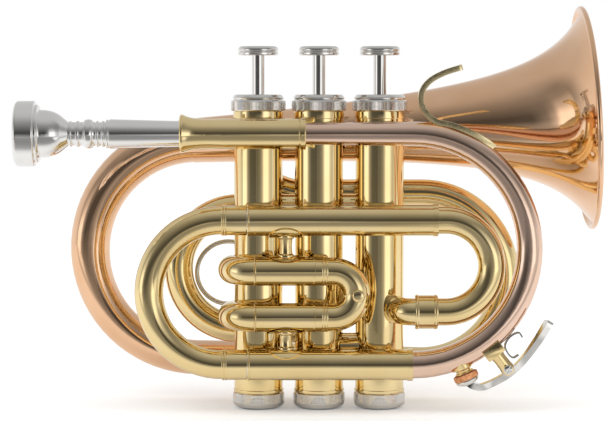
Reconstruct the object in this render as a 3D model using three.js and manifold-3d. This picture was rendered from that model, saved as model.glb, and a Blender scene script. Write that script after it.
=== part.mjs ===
// Pocket trumpet, in millimetres. X runs from the mouthpiece to the bell, Z is up along the valves,
// and Y runs from the leadpipe side to the bell side. The origin is the flat foot of the middle valve.
import * as THREE from "three";
import { mergeVertices } from "three/addons/utils/BufferGeometryUtils.js";
import Module from "manifold-3d";

const wasm = await Module();
wasm.setup();

// Fits and cuts
const clearance = 0.3;
const cutOverrun = 1;
const mergeDistance = 1e-4;

// Facets
const pipeSides = 10;
const bendStep = THREE.MathUtils.degToRad(18);
const tightBendStep = THREE.MathUtils.degToRad(22.5);
const tightBendRadius = 12;
const casingSides = 16;
const capSides = 16;
const bellSides = 26;
const smallSides = 8;
const portSides = 6;

// Depth planes
const frontPlane = -19;
const bellPlane = 30;
const thirdSlidePlane = 17.5;

// Valve casings
const valvePitch = 26;
const backTubePitch = 13;
const casingRadius = 10.4;
const casingBoreRadius = 9.2;
const threadRadius = 10;
const collarRadius = 10.75;
const collarHeight = 2.9;
const casingShoulderRise = 7.2;
const topThreadHeight = 4;
const portRadius = 4.9;
const knuckleRadius = 5.9;
const frontKnuckleDrop = 6;
const backKnuckleRise = 5;

// Bottom caps
const footRadius = 8;
const footRound = 2.7;
const bottomCapRadius = 11.25;
const bottomCapHeight = 6.9;
const bottomCapFloor = 3.2;
const footBevelRadius = 10.3;
const footBevelHeight = 1.1;

// Top caps
const topCapRadius = 11.85;
const topCapBand = 4.3;
const topCapHeight = 6.9;
const topCapShoulderRadius = 10.9;
const topCapFaceRadius = 9.8;
const topCapCeiling = 2.9;

// Pistons, stems, buttons, felts and springs
const pistonFoot = 30;
const pistonWall = 1;
const pistonMouthRadius = 5;
const springSeat = 1.5;
const pistonCrown = 3;
const stemRadius = 2.75;
const stemExposed = 16.6;
const buttonRadius = 8.65;
const buttonFaceRadius = 7;
const buttonThickness = 4.1;
const buttonSkirt = 1.5;
const feltRadius = 8;
const feltThickness = 2.6;
const springRadius = 6.8;
const springWireRadius = 0.5;
const springTurns = 4;
const springSides = 5;
const springStepsPerTurn = 8;

// Mouthpiece and receiver
const receiverMouth = -58.6;
const receiverLength = 53;
const receiverRadius = 6.45;
const receiverWaistRadius = 6.25;
const receiverLipRadius = 8.1;
const receiverLipLength = 1.7;
const receiverWaistAt = 8.5;
const receiverRingRadius = 6.75;
const receiverRingLength = 2.2;
const shankInsertion = 15;
const shankSlope = 0.026;
const shankRadius = 5.4;
const shankWall = 1.2;
const mouthpieceReach = 69.4;
const mouthpieceRimRadius = 13.9;
const mouthpieceRimLength = 7.3;
const mouthpieceRimRound = 1.6;
const cupStepRadius = 11.2;
const cupStepLength = 3;
const cupRadius = 9.6;
const cupLength = 6.8;
const throatNeckAt = 22.5;
const neckRadius = 5.1;
const beadRadius = 6.1;
const beadAt = 31;
const beadLength = 3.4;
const shankRingAt = 38.2;
const shankStartAt = 39.8;
const cupMouthRadius = 8.2;
const cupDepth = 11;
const cupShares = [[0.55, 0.72], [0.93, 0.3]];
const cupShoulderShare = 0.88;
const throatRadius = 1.9;

// Leadpipe and finger hook
const leadpipeStartRadius = 4.3;
const leadpipeLoopRadius = 5.2;
const leadpipeEndRadius = 5.8;
const leadpipeWall = 0.5;
const leadpipeInsertion = 20;
const leadpipeBendRadius = 48.75;
const leadpipeBendAt = 39.9;
const hookWidth = 5;
const hookThickness = 2;
const hookFootFrom = THREE.MathUtils.degToRad(35);
const hookFootTo = THREE.MathUtils.degToRad(10.5);
const hookRise = 22.4;
const hookPathShares = [
  [-0.2, 0.17], [-0.31, 0.42], [-0.29, 0.63], [-0.14, 0.8], [0.06, 0.92], [0.26, 0.96], [0.42, 1],
];

// Main tuning slide
const mainLowerHeight = 20.8;
const mainSleeveRadius = 6.55;
const mainLegRadius = 5.5;
const mainBowRadius = 6.05;
const mainFerruleRadius = 6.4;
const mainFerruleLength = 10.5;
const mainBendRadius = 30.55;
const mainLegLength = 38;
const mainSlideMouth = -30.6;
const lowerSleeveEnd = 39.4;
const slideWall = 0.6;

// Feed crook into the third valve
const feedLoopGap = 16;
const feedBendRadius = 19.35;
const feedCrookRadius = 5.6;
const feedCrookRun = 3;
const feedFerruleRadius = 7.1;
const feedFerruleLength = 9;
const feedPipeRadius = 5.6;
const feedTurnRadius = 5.9;
const feedTurnAt = 40.6;
const feedEntryRadius = 8;
const feedEntryTurn = THREE.MathUtils.degToRad(45);

// First valve slide
const firstSlideRise = 20.1;
const firstBendRadius = 9.75;
const valveSleeveRadius = 6.1;
const valveFerruleRadius = 6;
const valveLegRadius = 5.2;
const valveCrookRadius = 5.85;
const firstSleeveMouth = -1.7;
const firstElbowAt = -27.5;
const firstFerruleLength = 5.5;
const firstCrookRun = 2.2;
const firstLegLength = 24;
const pullKnobRadius = 2.6;
const pullKnobLength = 3.2;

// Second valve slide
const secondBendRadius = 9;
const secondSleeveMouth = 22;
const secondFerruleLength = 3;
const secondLegLength = 9;

// Third valve slide
const thirdSlideRise = 11.6;
const thirdBendRadius = 26.3;
const thirdTubeRadius = 6.4;
const thirdBowRadius = 6.3;
const thirdLegRadius = 5.5;
const thirdBendAt = -35.2;
const thirdFerruleLength = 3.5;
const thirdLegLength = 25;
const thirdElbowRadius = 8;
const thirdRiseTurn = THREE.MathUtils.degToRad(65.7);
const thirdRiseRadius = 9;
const thirdRiseAt = -5;
const ringRadius = 13.5;
const ringWireRadius = 1.2;
const ringWireSides = 6;
const ringSeatAngle = THREE.MathUtils.degToRad(24);

// Bell, bell bow and tail
const tailPortOffset = 4;
const tailPipeRadius = 5.8;
const tailPipeWall = 0.6;
const tailTurnRadius = 16;
const tailDip = THREE.MathUtils.degToRad(20);
const tailDipRadius = 20;
const tailPortStart = 6;
const tailBendAt = 45.5;
const tailBendRadius = 37.5;
const tailBendExtra = THREE.MathUtils.degToRad(1);
const tailFerruleRadius = 8.9;
const tailFerruleLength = 12;
const tailFerruleAt = -21.3;
const tailEndRadius = 7.2;
const bellBowStartRadius = 7.6;
const bellBowEndRadius = 9.6;
const bellBowBendAt = -53.8;
const bellBowBendRadius = 48.1;
const bellTilt = THREE.MathUtils.degToRad(3.3);
const bellWall = 0.6;
const bellLength = 174.4;
const bellRimRadius = 47.7;
const bellBeadRadius = 1.2;
const flareOffset = 17.5;
const flarePower = 0.66;
const bellStationShares = [0, 0.3, 0.52, 0.67, 0.78, 0.86, 0.92, 0.965];

// Braces
const braceAt = -14;
const bracePostRadius = 2.6;
const braceSaddleRadius = 7.2;
const braceSaddleDepthShare = 0.86;
const braceSaddleThickness = 0.7;
const bellBraceRadius = 2.5;

// Water key
const nippleAngle = THREE.MathUtils.degToRad(157.6);
const nippleRadius = 4.2;
const nippleBore = 2;
const nippleLength = 2;
const corkRadius = 4.9;
const corkThickness = 2.3;
const corkCupRadius = 4.2;
const corkCupThickness = 2;
const pivotAngle = THREE.MathUtils.degToRad(141.8);
const pivotRise = 9.25;
const pivotPinRadius = 1;
const pivotPinLength = 12;
const saddlePostLength = 5.6;
const saddlePostWidth = 7;
const leverWidth = 5;
const leverThickness = 2;
const leverHubRadius = 2.9;
const leverReach = 20;
const leverPathShares = [
  [-0.81, -0.33], [-0.7, -0.385], [-0.52, -0.4], [-0.31, -0.32], [-0.06, -0.185],
  [0.15, -0.03], [0.325, 0.15], [0.5, 0.375], [0.69, 0.655], [0.875, 0.975],
];
const keySpringThickness = 0.7;
const keySpringWidth = 3;
const keySpringReach = 15;
const keySpringPathShares = [
  [0.42, 0.87], [0.33, 1], [0.15, 0.94], [0, 0.79], [-0.06, 0.61], [0.02, 0.42], [0.16, 0.3], [0.32, 0.38],
];

// Places worked out from the sizes above
const backwards = new THREE.Vector3(0, 1, 0);
const forwards = new THREE.Vector3(0, -1, 0);
const rightwards = new THREE.Vector3(1, 0, 0);
const leftwards = new THREE.Vector3(-1, 0, 0);
const upwards = new THREE.Vector3(0, 0, 1);
const mainUpperHeight = mainLowerHeight + 2 * mainBendRadius;
const leadpipeHeight = mainLowerHeight + 2 * leadpipeBendRadius;
const leadpipeLoopHeight = mainLowerHeight + leadpipeBendRadius;
const feedLowerHeight = mainUpperHeight - 2 * feedBendRadius;
const feedCrookEnd = leadpipeBendAt + leadpipeBendRadius - feedLoopGap;
const upperSleeveEnd = feedCrookEnd - feedBendRadius - feedCrookRun - clearance;
const firstLowerHeight = mainLowerHeight + firstSlideRise;
const firstSlideHeight = firstLowerHeight + 2 * firstBendRadius;
const thirdLowerHeight = mainLowerHeight + thirdSlideRise;
const thirdSlideHeight = thirdLowerHeight + 2 * thirdBendRadius;
const secondSlideHeight = thirdSlideHeight - backTubePitch;
const secondLowerHeight = secondSlideHeight - 2 * secondBendRadius;
const tailPortHeight = thirdSlideHeight + backTubePitch;
const frontKnuckleHeight = thirdLowerHeight - frontKnuckleDrop;
const backKnuckleHeight = secondLowerHeight + backKnuckleRise;
const pivotReach = leadpipeBendRadius + leadpipeEndRadius + pivotRise;
const casingFoot = bottomCapFloor + clearance;
const pistonRadius = casingBoreRadius - clearance;
const valvePlaces = [-valvePitch, 0, valvePitch];

// Finishes
const yellowBrass = new THREE.MeshStandardMaterial({ color: 0xc9a24c, roughness: 0.18, metalness: 1 });
const roseBrass = new THREE.MeshStandardMaterial({ color: 0xc88f73, roughness: 0.18, metalness: 1 });
const nickel = new THREE.MeshStandardMaterial({ color: 0xc9c6bf, roughness: 0.15, metalness: 1 });
const silver = new THREE.MeshStandardMaterial({ color: 0xdedede, roughness: 0.1, metalness: 1 });
const springSteel = new THREE.MeshStandardMaterial({ color: 0x9a9a98, roughness: 0.3, metalness: 1 });
const corkBrown = new THREE.MeshStandardMaterial({ color: 0xc9876a, roughness: 0.9, metalness: 0 });
const whiteFelt = new THREE.MeshStandardMaterial({ color: 0xe8e4da, roughness: 1, metalness: 0 });

const trumpet = new THREE.Group();

function addPiece(name, geometry, finish) {
  const piece = new THREE.Mesh(geometry, finish);
  piece.name = name;
  trumpet.add(piece);
  return piece;
}

// A closed mesh as a solid that can be joined and cut.
function solidOf(geometry) {
  const bare = geometry.index ? geometry.toNonIndexed() : geometry.clone();
  bare.deleteAttribute("normal");
  bare.deleteAttribute("uv");
  const merged = mergeVertices(bare, mergeDistance);
  const mesh = new wasm.Mesh({
    numProp: 3,
    vertProperties: merged.attributes.position.array,
    triVerts: new Uint32Array(merged.index.array),
  });
  return new wasm.Manifold(mesh);
}

function geometryOf(solid) {
  const mesh = solid.getMesh();
  const geometry = new THREE.BufferGeometry();
  geometry.setAttribute("position", new THREE.Float32BufferAttribute(mesh.vertProperties, 3));
  geometry.setIndex(Array.from(mesh.triVerts));
  geometry.computeVertexNormals();
  return geometry;
}

function cut(geometry, ...cutters) {
  const solid = cutters.reduce((left, cutter) => left.subtract(solidOf(cutter)), solidOf(geometry));
  return geometryOf(solid);
}

function join(...pieces) {
  return geometryOf(pieces.map(solidOf).reduce((whole, piece) => whole.add(piece)));
}

// The radius at which a bore's facets, not its corners, lie on the circle.
function boreCorners(radius, sides) {
  return radius / Math.cos(Math.PI / sides);
}

// A turned piece: its outline of [radius, height] points is spun round the Z axis.
function turned(outline, sides) {
  const points = outline.map(([radius, height]) => new THREE.Vector2(radius, height));
  return new THREE.LatheGeometry(points, sides).rotateX(Math.PI / 2);
}

// Moves a piece made along +Z from the origin to a place and a heading.
function aimed(geometry, place, heading) {
  const turn = new THREE.Quaternion().setFromUnitVectors(upwards, heading);
  return geometry.applyQuaternion(turn).translate(place.x, place.y, place.z);
}

function rod(radius, length, place, heading, sides) {
  const outline = [[0, 0], [radius, 0], [radius, length], [0, length]];
  return aimed(turned(outline, sides), place, heading);
}

function bore(radius, length, place, heading, sides) {
  return rod(boreCorners(radius, sides), length, place, heading, sides);
}

function stepOf(radius) {
  return radius < tightBendRadius ? tightBendStep : bendStep;
}

// The pipe maker's route: straights and round bends laid end to end, with a station at each ring.
class Route extends THREE.Curve {
  constructor(x, y, z, heading) {
    super();
    this.points = [new THREE.Vector3(x, y, z)];
    this.headings = [heading.clone()];
  }

  get end() {
    return this.points[this.points.length - 1];
  }

  get heading() {
    return this.headings[this.headings.length - 1];
  }

  get steps() {
    return this.points.length - 1;
  }

  straight(length) {
    this.points.push(this.end.clone().addScaledVector(this.heading, length));
    this.headings.push(this.heading.clone());
    return this;
  }

  bend(radius, turn, axis) {
    const start = this.end.clone();
    const heading = this.heading.clone();
    const inward = axis.clone().cross(heading).multiplyScalar(Math.sign(turn));
    const centre = start.clone().addScaledVector(inward, radius);
    const count = Math.ceil(Math.abs(turn) / stepOf(radius));
    for (let step = 1; step <= count; step += 1) {
      const angle = (turn * step) / count;
      this.points.push(start.clone().sub(centre).applyAxisAngle(axis, angle).add(centre));
      this.headings.push(heading.clone().applyAxisAngle(axis, angle));
    }
    return this;
  }

  getPointAt(share) {
    return this.points[Math.round(share * this.steps)].clone();
  }

  getTangentAt(share) {
    return this.headings[Math.round(share * this.steps)].clone();
  }
}

function circlePoints(radius) {
  return Array.from({ length: pipeSides }, (_, side) => {
    const angle = (2 * Math.PI * side) / pipeSides;
    return new THREE.Vector2(radius * Math.cos(angle), radius * Math.sin(angle));
  });
}

// A drawn tube of one diameter.
function tube(route, radius, boreRadius) {
  const section = new THREE.Shape(circlePoints(radius));
  section.holes.push(new THREE.Path(circlePoints(boreRadius)));
  return new THREE.ExtrudeGeometry(section, { steps: route.steps, extrudePath: route });
}

// A tube whose radius follows its stations, such as a coned pipe or a crook with its ferrules.
function conedTube(route, radiusAt, wall) {
  const frames = route.computeFrenetFrames(route.steps, false);
  const places = [];
  const faces = [];
  const stations = route.points.length;
  route.points.forEach((centre, station) => {
    for (const radius of [radiusAt(station), radiusAt(station) - wall]) {
      circlePoints(radius).forEach((point) => {
        const place = centre.clone()
          .addScaledVector(frames.normals[station], point.x)
          .addScaledVector(frames.binormals[station], point.y);
        places.push(place.x, place.y, place.z);
      });
    }
  });
  const outer = (station, side) => 2 * station * pipeSides + (side % pipeSides);
  const inner = (station, side) => outer(station, side) + pipeSides;
  const quad = (a, b, c, d) => faces.push(a, b, c, a, c, d);
  for (let side = 0; side < pipeSides; side += 1) {
    const next = side + 1;
    for (let near = 0, far = 1; far < stations; near += 1, far += 1) {
      quad(outer(near, side), outer(near, next), outer(far, next), outer(far, side));
      quad(inner(near, side), inner(far, side), inner(far, next), inner(near, next));
    }
    const last = stations - 1;
    quad(outer(0, side), inner(0, side), inner(0, next), outer(0, next));
    quad(outer(last, side), outer(last, next), inner(last, next), inner(last, side));
  }
  const geometry = new THREE.BufferGeometry();
  geometry.setAttribute("position", new THREE.Float32BufferAttribute(places, 3));
  geometry.setIndex(faces);
  geometry.computeVertexNormals();
  return geometry;
}

// A path given as shares of one size, from a starting point in the XZ plane.
function placedPath(shares, start, size) {
  return shares.map(([across, up]) => new THREE.Vector2(start.x + across * size, start.y + up * size));
}

// A bent strip: its middle line runs in the leadpipe's plane and its width lies across that plane.
function strip(spine, thickness, width) {
  const edges = spine.map((point, index) => {
    const before = spine[Math.max(index - 1, 0)];
    const after = spine[Math.min(index + 1, spine.length - 1)];
    const along = after.clone().sub(before).normalize();
    const across = new THREE.Vector2(-along.y, along.x).multiplyScalar(thickness / 2);
    return [point.clone().add(across), point.clone().sub(across)];
  });
  const outline = [...edges.map(([left]) => left), ...edges.map(([, right]) => right).reverse()];
  const bar = new THREE.ExtrudeGeometry(new THREE.Shape(outline), { depth: width, bevelEnabled: false });
  return bar.rotateX(Math.PI / 2).translate(0, frontPlane + width / 2, 0);
}

// The sliding part of a slide: leg, ferrule, bow, ferrule, leg, bent as one piece.
function slideCrook({ mouth, slideHeading, axis, legLength, legRadius, ferruleLength, ferruleRadius,
  run, bendRadius, bowRadius, wall }) {
  const route = new Route(mouth.x, mouth.y, mouth.z, slideHeading);
  route.points[0].addScaledVector(slideHeading, -legLength);
  const radii = [legRadius];
  const extend = (length, startRadius, endRadius) => {
    route.straight(length);
    radii[radii.length - 1] = startRadius;
    radii.push(endRadius);
  };
  const stepLength = clearance / 2;
  extend(legLength + clearance - stepLength, legRadius, legRadius);
  extend(stepLength, legRadius, ferruleRadius);
  extend(ferruleLength, ferruleRadius, ferruleRadius);
  extend(stepLength, ferruleRadius, bowRadius);
  if (run > 0) extend(run, bowRadius, bowRadius);
  route.bend(bendRadius, Math.PI, axis);
  while (radii.length < route.points.length) radii.push(bowRadius);
  if (run > 0) extend(run, bowRadius, bowRadius);
  extend(stepLength, bowRadius, ferruleRadius);
  extend(ferruleLength, ferruleRadius, ferruleRadius);
  extend(stepLength, ferruleRadius, legRadius);
  extend(legLength + clearance - stepLength, legRadius, legRadius);
  return conedTube(route, (station) => radii[station], wall);
}

// Middle lines of the tail and the bell bow, which set how high the bell lies
const tailRoute = new Route(-valvePitch - tailPortOffset, tailPortStart, tailPortHeight, backwards);
tailRoute.straight(bellPlane - tailTurnRadius - tailPortStart);
const dipHeading = new THREE.Vector3(Math.cos(tailDip), 0, -Math.sin(tailDip));
tailRoute.bend(tailTurnRadius, Math.PI / 2, backwards.clone().cross(dipHeading).normalize());
tailRoute.bend(tailDipRadius, -tailDip, backwards);
tailRoute.straight(tailBendAt - tailRoute.end.x);
tailRoute.bend(tailBendRadius, Math.PI + tailBendExtra, backwards);
const coneStation = tailRoute.steps;
tailRoute.straight((tailRoute.end.x - tailFerruleAt) / Math.cos(tailBendExtra));
const bowRoute = new Route(0, 0, 0, tailRoute.heading);
bowRoute.points[0].copy(tailRoute.end).addScaledVector(tailRoute.heading, clearance);
bowRoute.straight((bowRoute.end.x - bellBowBendAt) / Math.cos(tailBendExtra));
bowRoute.bend(bellBowBendRadius, Math.PI - tailBendExtra - bellTilt, backwards);
const bellBraceAlong = -bowRoute.end.x / Math.cos(bellTilt);
const bellAxisHeight = bowRoute.end.z + bellBraceAlong * Math.sin(bellTilt);

// Heights of the valves, whose tops stand a little over the bell's axis
const casingShoulder = bellAxisHeight + casingShoulderRise;
const casingTop = casingShoulder + collarHeight + topThreadHeight;
const topCapFoot = casingShoulder + collarHeight + clearance;
const topCapFace = topCapFoot + topCapHeight;
const ceilingHeight = topCapFace - topCapCeiling;
const pistonTop = ceilingHeight - feltThickness - 2 * clearance;
const buttonFoot = topCapFace + stemExposed;

// Mouthpiece: rim, cup, beaded neck and tapered shank, turned in one piece with its cup and throat
{
  const shankEnd = mouthpieceReach + shankInsertion;
  const shankStartRadius = shankRadius + shankSlope * (mouthpieceReach - shankStartAt);
  const shankEndRadius = shankRadius - shankSlope * shankInsertion;
  const cupEnd = mouthpieceRimLength + cupStepLength + cupLength;
  const outline = [
    [throatRadius, cupDepth],
    ...cupShares.map(([across, deep]) => [cupMouthRadius * across, cupDepth * deep]),
    [cupMouthRadius, mouthpieceRimRound / 2],
    [(cupMouthRadius + mouthpieceRimRadius) / 2, 0],
    [mouthpieceRimRadius - mouthpieceRimRound / 2, mouthpieceRimRound / 2],
    [mouthpieceRimRadius, mouthpieceRimRound * 2],
    [mouthpieceRimRadius, mouthpieceRimLength],
    [cupStepRadius, mouthpieceRimLength],
    [cupRadius + clearance, mouthpieceRimLength + cupStepLength],
    [cupRadius, mouthpieceRimLength + cupStepLength + clearance],
    [cupRadius, cupEnd],
    [cupRadius * cupShoulderShare, (cupEnd + throatNeckAt) / 2],
    [neckRadius, throatNeckAt],
    [neckRadius, beadAt - beadLength],
    [beadRadius, beadAt],
    [neckRadius, beadAt + beadLength],
    [neckRadius, shankRingAt],
    [shankStartRadius, shankStartAt],
    [shankEndRadius, shankEnd],
    [shankEndRadius - shankWall, shankEnd],
    [throatRadius, cupDepth],
  ];
  const place = new THREE.Vector3(receiverMouth - mouthpieceReach, frontPlane, leadpipeHeight);
  addPiece("mouthpiece", aimed(turned(outline, capSides), place, rightwards), silver);
}

// Mouthpiece receiver: flared lip, waist, body and end ring
{
  const boreAt = (depth) => shankRadius + clearance - shankSlope * depth;
  const throughRadius = leadpipeStartRadius + clearance;
  const seatDepth = shankInsertion + 2 * clearance;
  const outline = [
    [boreCorners(boreAt(0), casingSides), 0],
    [receiverLipRadius, 0],
    [receiverLipRadius, receiverLipLength],
    [receiverWaistRadius, receiverWaistAt],
    [receiverRadius, 2 * receiverWaistAt],
    [receiverRadius, receiverLength - receiverRingLength],
    [receiverRingRadius, receiverLength - receiverRingLength],
    [receiverRingRadius, receiverLength],
    [boreCorners(throughRadius, casingSides), receiverLength],
    [boreCorners(throughRadius, casingSides), seatDepth],
    [boreCorners(boreAt(seatDepth), casingSides), seatDepth],
    [boreCorners(boreAt(0), casingSides), 0],
  ];
  const place = new THREE.Vector3(receiverMouth, frontPlane, leadpipeHeight);
  addPiece("mouthpiece_receiver", aimed(turned(outline, casingSides), place, rightwards), yellowBrass);
}

// Leadpipe: a coned pipe, straight past the valves and round the large loop to the lower sleeve
{
  const start = receiverMouth + receiverLength - leadpipeInsertion;
  const route = new Route(start, frontPlane, leadpipeHeight, rightwards);
  route.straight(leadpipeBendAt - start);
  route.bend(leadpipeBendRadius, Math.PI, backwards);
  route.straight(leadpipeBendAt - lowerSleeveEnd - clearance);
  const radiusAt = (station) => {
    if (station === 0) return leadpipeStartRadius;
    const share = (station - 1) / (route.steps - 1);
    return THREE.MathUtils.lerp(leadpipeLoopRadius, leadpipeEndRadius, share);
  };
  addPiece("leadpipe", conedTube(route, radiusAt, leadpipeWall), roseBrass);
}

// Finger hook: a strip soldered along the outside of the loop, raised and curled over at its end
{
  const footReach = leadpipeBendRadius + leadpipeLoopRadius + clearance + hookThickness / 2;
  const onLoop = (angle, reach) => new THREE.Vector2(
    leadpipeBendAt + reach * Math.sin(angle), leadpipeLoopHeight + reach * Math.cos(angle));
  const footAngles = [hookFootFrom, (hookFootFrom + hookFootTo) / 2, hookFootTo];
  const foot = footAngles.map((angle) => onLoop(angle, footReach));
  const heel = foot[foot.length - 1];
  const curl = placedPath(hookPathShares, heel, hookRise);
  const hook = strip([...foot, ...curl], hookThickness, hookWidth);
  const loopRoute = new Route(leadpipeBendAt, frontPlane, leadpipeHeight, rightwards);
  loopRoute.bend(leadpipeBendRadius, Math.PI / 2, backwards);
  const seatRadius = (leadpipeLoopRadius + leadpipeEndRadius) / 2 + clearance;
  const seat = conedTube(loopRoute, () => seatRadius, leadpipeLoopRadius);
  addPiece("finger_hook", cut(hook, seat), yellowBrass);
}

// Main tuning slide: two fixed sleeves and the bow with its ferrules and inner legs
{
  const start = mainSlideMouth + clearance;
  const sleeveEnds = { upper: [upperSleeveEnd, mainUpperHeight], lower: [lowerSleeveEnd, mainLowerHeight] };
  for (const [place, [end, height]] of Object.entries(sleeveEnds)) {
    const route = new Route(start, frontPlane, height, rightwards).straight(end - start);
    const sleeveBore = boreCorners(mainLegRadius + clearance, pipeSides);
    addPiece(`main_slide_${place}_sleeve`, tube(route, mainSleeveRadius, sleeveBore), yellowBrass);
  }
  const crook = slideCrook({
    mouth: new THREE.Vector3(mainSlideMouth, frontPlane, mainLowerHeight),
    slideHeading: leftwards,
    axis: backwards,
    legLength: mainLegLength,
    legRadius: mainLegRadius,
    ferruleLength: mainFerruleLength,
    ferruleRadius: mainFerruleRadius,
    run: 0,
    bendRadius: mainBendRadius,
    bowRadius: mainBowRadius,
    wall: slideWall,
  });
  addPiece("main_slide_bow", crook, yellowBrass);
}

// Feed crook, its ferrule and the short pipe that turns into the third casing
const casingCutters = valvePlaces.map((x) => {
  const start = new THREE.Vector3(x, 0, -cutOverrun);
  return bore(casingRadius + clearance, casingTop + 2 * cutOverrun, start, upwards, 2 * casingSides);
});
{
  const crookRoute = new Route(upperSleeveEnd + clearance, frontPlane, mainUpperHeight, rightwards);
  crookRoute.straight(feedCrookRun);
  crookRoute.bend(feedBendRadius, Math.PI, backwards);
  const ferruleStart = feedTurnAt + clearance + feedFerruleLength;
  const ferruleMiddle = ferruleStart - feedFerruleLength / 2;
  crookRoute.straight(crookRoute.end.x - ferruleMiddle - clearance);
  addPiece("feed_crook", tube(crookRoute, feedCrookRadius, feedCrookRadius - slideWall), yellowBrass);
  const ferruleRoute = new Route(ferruleStart, frontPlane, feedLowerHeight, leftwards);
  ferruleRoute.straight(feedFerruleLength);
  const ferruleBore = boreCorners(feedPipeRadius + clearance, pipeSides);
  addPiece("feed_ferrule", tube(ferruleRoute, feedFerruleRadius, ferruleBore), yellowBrass);
  const pipeStart = ferruleMiddle - clearance;
  const pipeRoute = new Route(pipeStart, frontPlane, feedLowerHeight, leftwards);
  pipeRoute.straight(pipeStart - feedTurnAt);
  pipeRoute.bend(feedTurnRadius, -Math.PI / 2, upwards);
  pipeRoute.bend(feedEntryRadius, feedEntryTurn, upwards);
  const pipe = tube(pipeRoute, feedPipeRadius, feedPipeRadius - slideWall);
  addPiece("feed_pipe", cut(pipe, casingCutters[2]), yellowBrass);
}

// First valve slide: two tubes that turn round into the first casing, and the crook with its pull knob
{
  for (const [place, height] of [["upper", firstSlideHeight], ["lower", firstLowerHeight]]) {
    const route = new Route(firstSleeveMouth, frontPlane, height, leftwards);
    route.straight(firstSleeveMouth - firstElbowAt);
    route.bend(-frontPlane / 2, -Math.PI, upwards);
    const sleeveBore = boreCorners(valveLegRadius + clearance, pipeSides);
    const pipe = tube(route, valveSleeveRadius, sleeveBore);
    addPiece(`first_slide_${place}_tube`, cut(pipe, casingCutters[0]), yellowBrass);
  }
  const crook = slideCrook({
    mouth: new THREE.Vector3(firstSleeveMouth, frontPlane, firstSlideHeight),
    slideHeading: rightwards,
    axis: backwards,
    legLength: firstLegLength,
    legRadius: valveLegRadius,
    ferruleLength: firstFerruleLength,
    ferruleRadius: valveFerruleRadius,
    run: firstCrookRun,
    bendRadius: firstBendRadius,
    bowRadius: valveCrookRadius,
    wall: slideWall,
  });
  const bendAt = firstSleeveMouth + clearance + firstFerruleLength + firstCrookRun + clearance;
  const knobFoot = frontPlane - valveCrookRadius + slideWall / 2;
  const knobPlace = new THREE.Vector3(bendAt + firstBendRadius, knobFoot, firstSlideHeight - firstBendRadius);
  const knob = rod(pullKnobRadius, pullKnobLength, knobPlace, forwards, smallSides);
  addPiece("first_slide_crook", join(crook, knob), yellowBrass);
}

// Second valve slide: two short tubes straight out of the back of the middle casing, and its crook
{
  for (const [place, height] of [["upper", secondSlideHeight], ["lower", secondLowerHeight]]) {
    const route = new Route(0, casingRadius - 2 * cutOverrun, height, backwards);
    route.straight(secondSleeveMouth - casingRadius + 2 * cutOverrun);
    const sleeveBore = boreCorners(valveLegRadius + clearance, pipeSides);
    const pipe = tube(route, valveSleeveRadius, sleeveBore);
    addPiece(`second_slide_${place}_tube`, cut(pipe, casingCutters[1]), yellowBrass);
  }
  const crook = slideCrook({
    mouth: new THREE.Vector3(0, secondSleeveMouth, secondSlideHeight),
    slideHeading: backwards,
    axis: leftwards,
    legLength: secondLegLength,
    legRadius: valveLegRadius,
    ferruleLength: secondFerruleLength,
    ferruleRadius: valveFerruleRadius,
    run: 0,
    bendRadius: secondBendRadius,
    bowRadius: valveCrookRadius,
    wall: slideWall,
  });
  addPiece("second_slide_crook", crook, yellowBrass);
}

// Third valve slide: two tubes behind the valves, the large bow, and the finger ring inside the bow
{
  const sleeveMouth = thirdBendAt + thirdFerruleLength + 2 * clearance;
  const sleeveBore = boreCorners(thirdLegRadius + clearance, pipeSides);
  const elbowAt = valvePitch - thirdElbowRadius;
  const upperRoute = new Route(sleeveMouth, thirdSlidePlane, thirdSlideHeight, rightwards);
  upperRoute.straight(elbowAt - sleeveMouth);
  upperRoute.bend(thirdElbowRadius, -Math.PI / 2, upwards);
  upperRoute.straight(cutOverrun);
  const lowerRoute = new Route(sleeveMouth, thirdSlidePlane, thirdLowerHeight, rightwards);
  lowerRoute.straight(thirdRiseAt - sleeveMouth);
  lowerRoute.bend(thirdRiseRadius, -thirdRiseTurn, backwards);
  lowerRoute.bend(thirdRiseRadius, thirdRiseTurn, backwards);
  lowerRoute.straight(elbowAt - lowerRoute.end.x);
  lowerRoute.bend(thirdElbowRadius, -Math.PI / 2, upwards);
  lowerRoute.straight(cutOverrun);
  for (const [place, route] of [["upper", upperRoute], ["lower", lowerRoute]]) {
    const pipe = tube(route, thirdTubeRadius, sleeveBore);
    addPiece(`third_slide_${place}_tube`, cut(pipe, casingCutters[2]), yellowBrass);
  }
  const bow = slideCrook({
    mouth: new THREE.Vector3(sleeveMouth - clearance, thirdSlidePlane, thirdLowerHeight),
    slideHeading: leftwards,
    axis: backwards,
    legLength: thirdLegLength,
    legRadius: thirdLegRadius,
    ferruleLength: thirdFerruleLength - clearance,
    ferruleRadius: thirdTubeRadius,
    run: 0,
    bendRadius: thirdBendRadius,
    bowRadius: thirdBowRadius,
    wall: slideWall,
  });
  addPiece("third_slide_bow", bow, yellowBrass);
  const bowInside = (thirdBendRadius - thirdBowRadius) * Math.cos(bendStep / 2);
  const ringOffset = bowInside - clearance - ringRadius - ringWireRadius;
  const ring = new THREE.TorusGeometry(ringRadius, ringWireRadius, ringWireSides, 2 * pipeSides);
  ring.rotateX(Math.PI / 2);
  ring.translate(
    thirdBendAt - ringOffset * Math.cos(ringSeatAngle),
    thirdSlidePlane,
    thirdSlideHeight - thirdBendRadius - ringOffset * Math.sin(ringSeatAngle),
  );
  addPiece("third_slide_ring", ring, nickel);
}

// Tail: out of the back of the first casing, behind the valves, round the right loop and back
{
  const radiusAt = (station) => (station > coneStation ? tailEndRadius : tailPipeRadius);
  addPiece("bell_tail", cut(conedTube(tailRoute, radiusAt, tailPipeWall), casingCutters[0]), yellowBrass);
}

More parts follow.
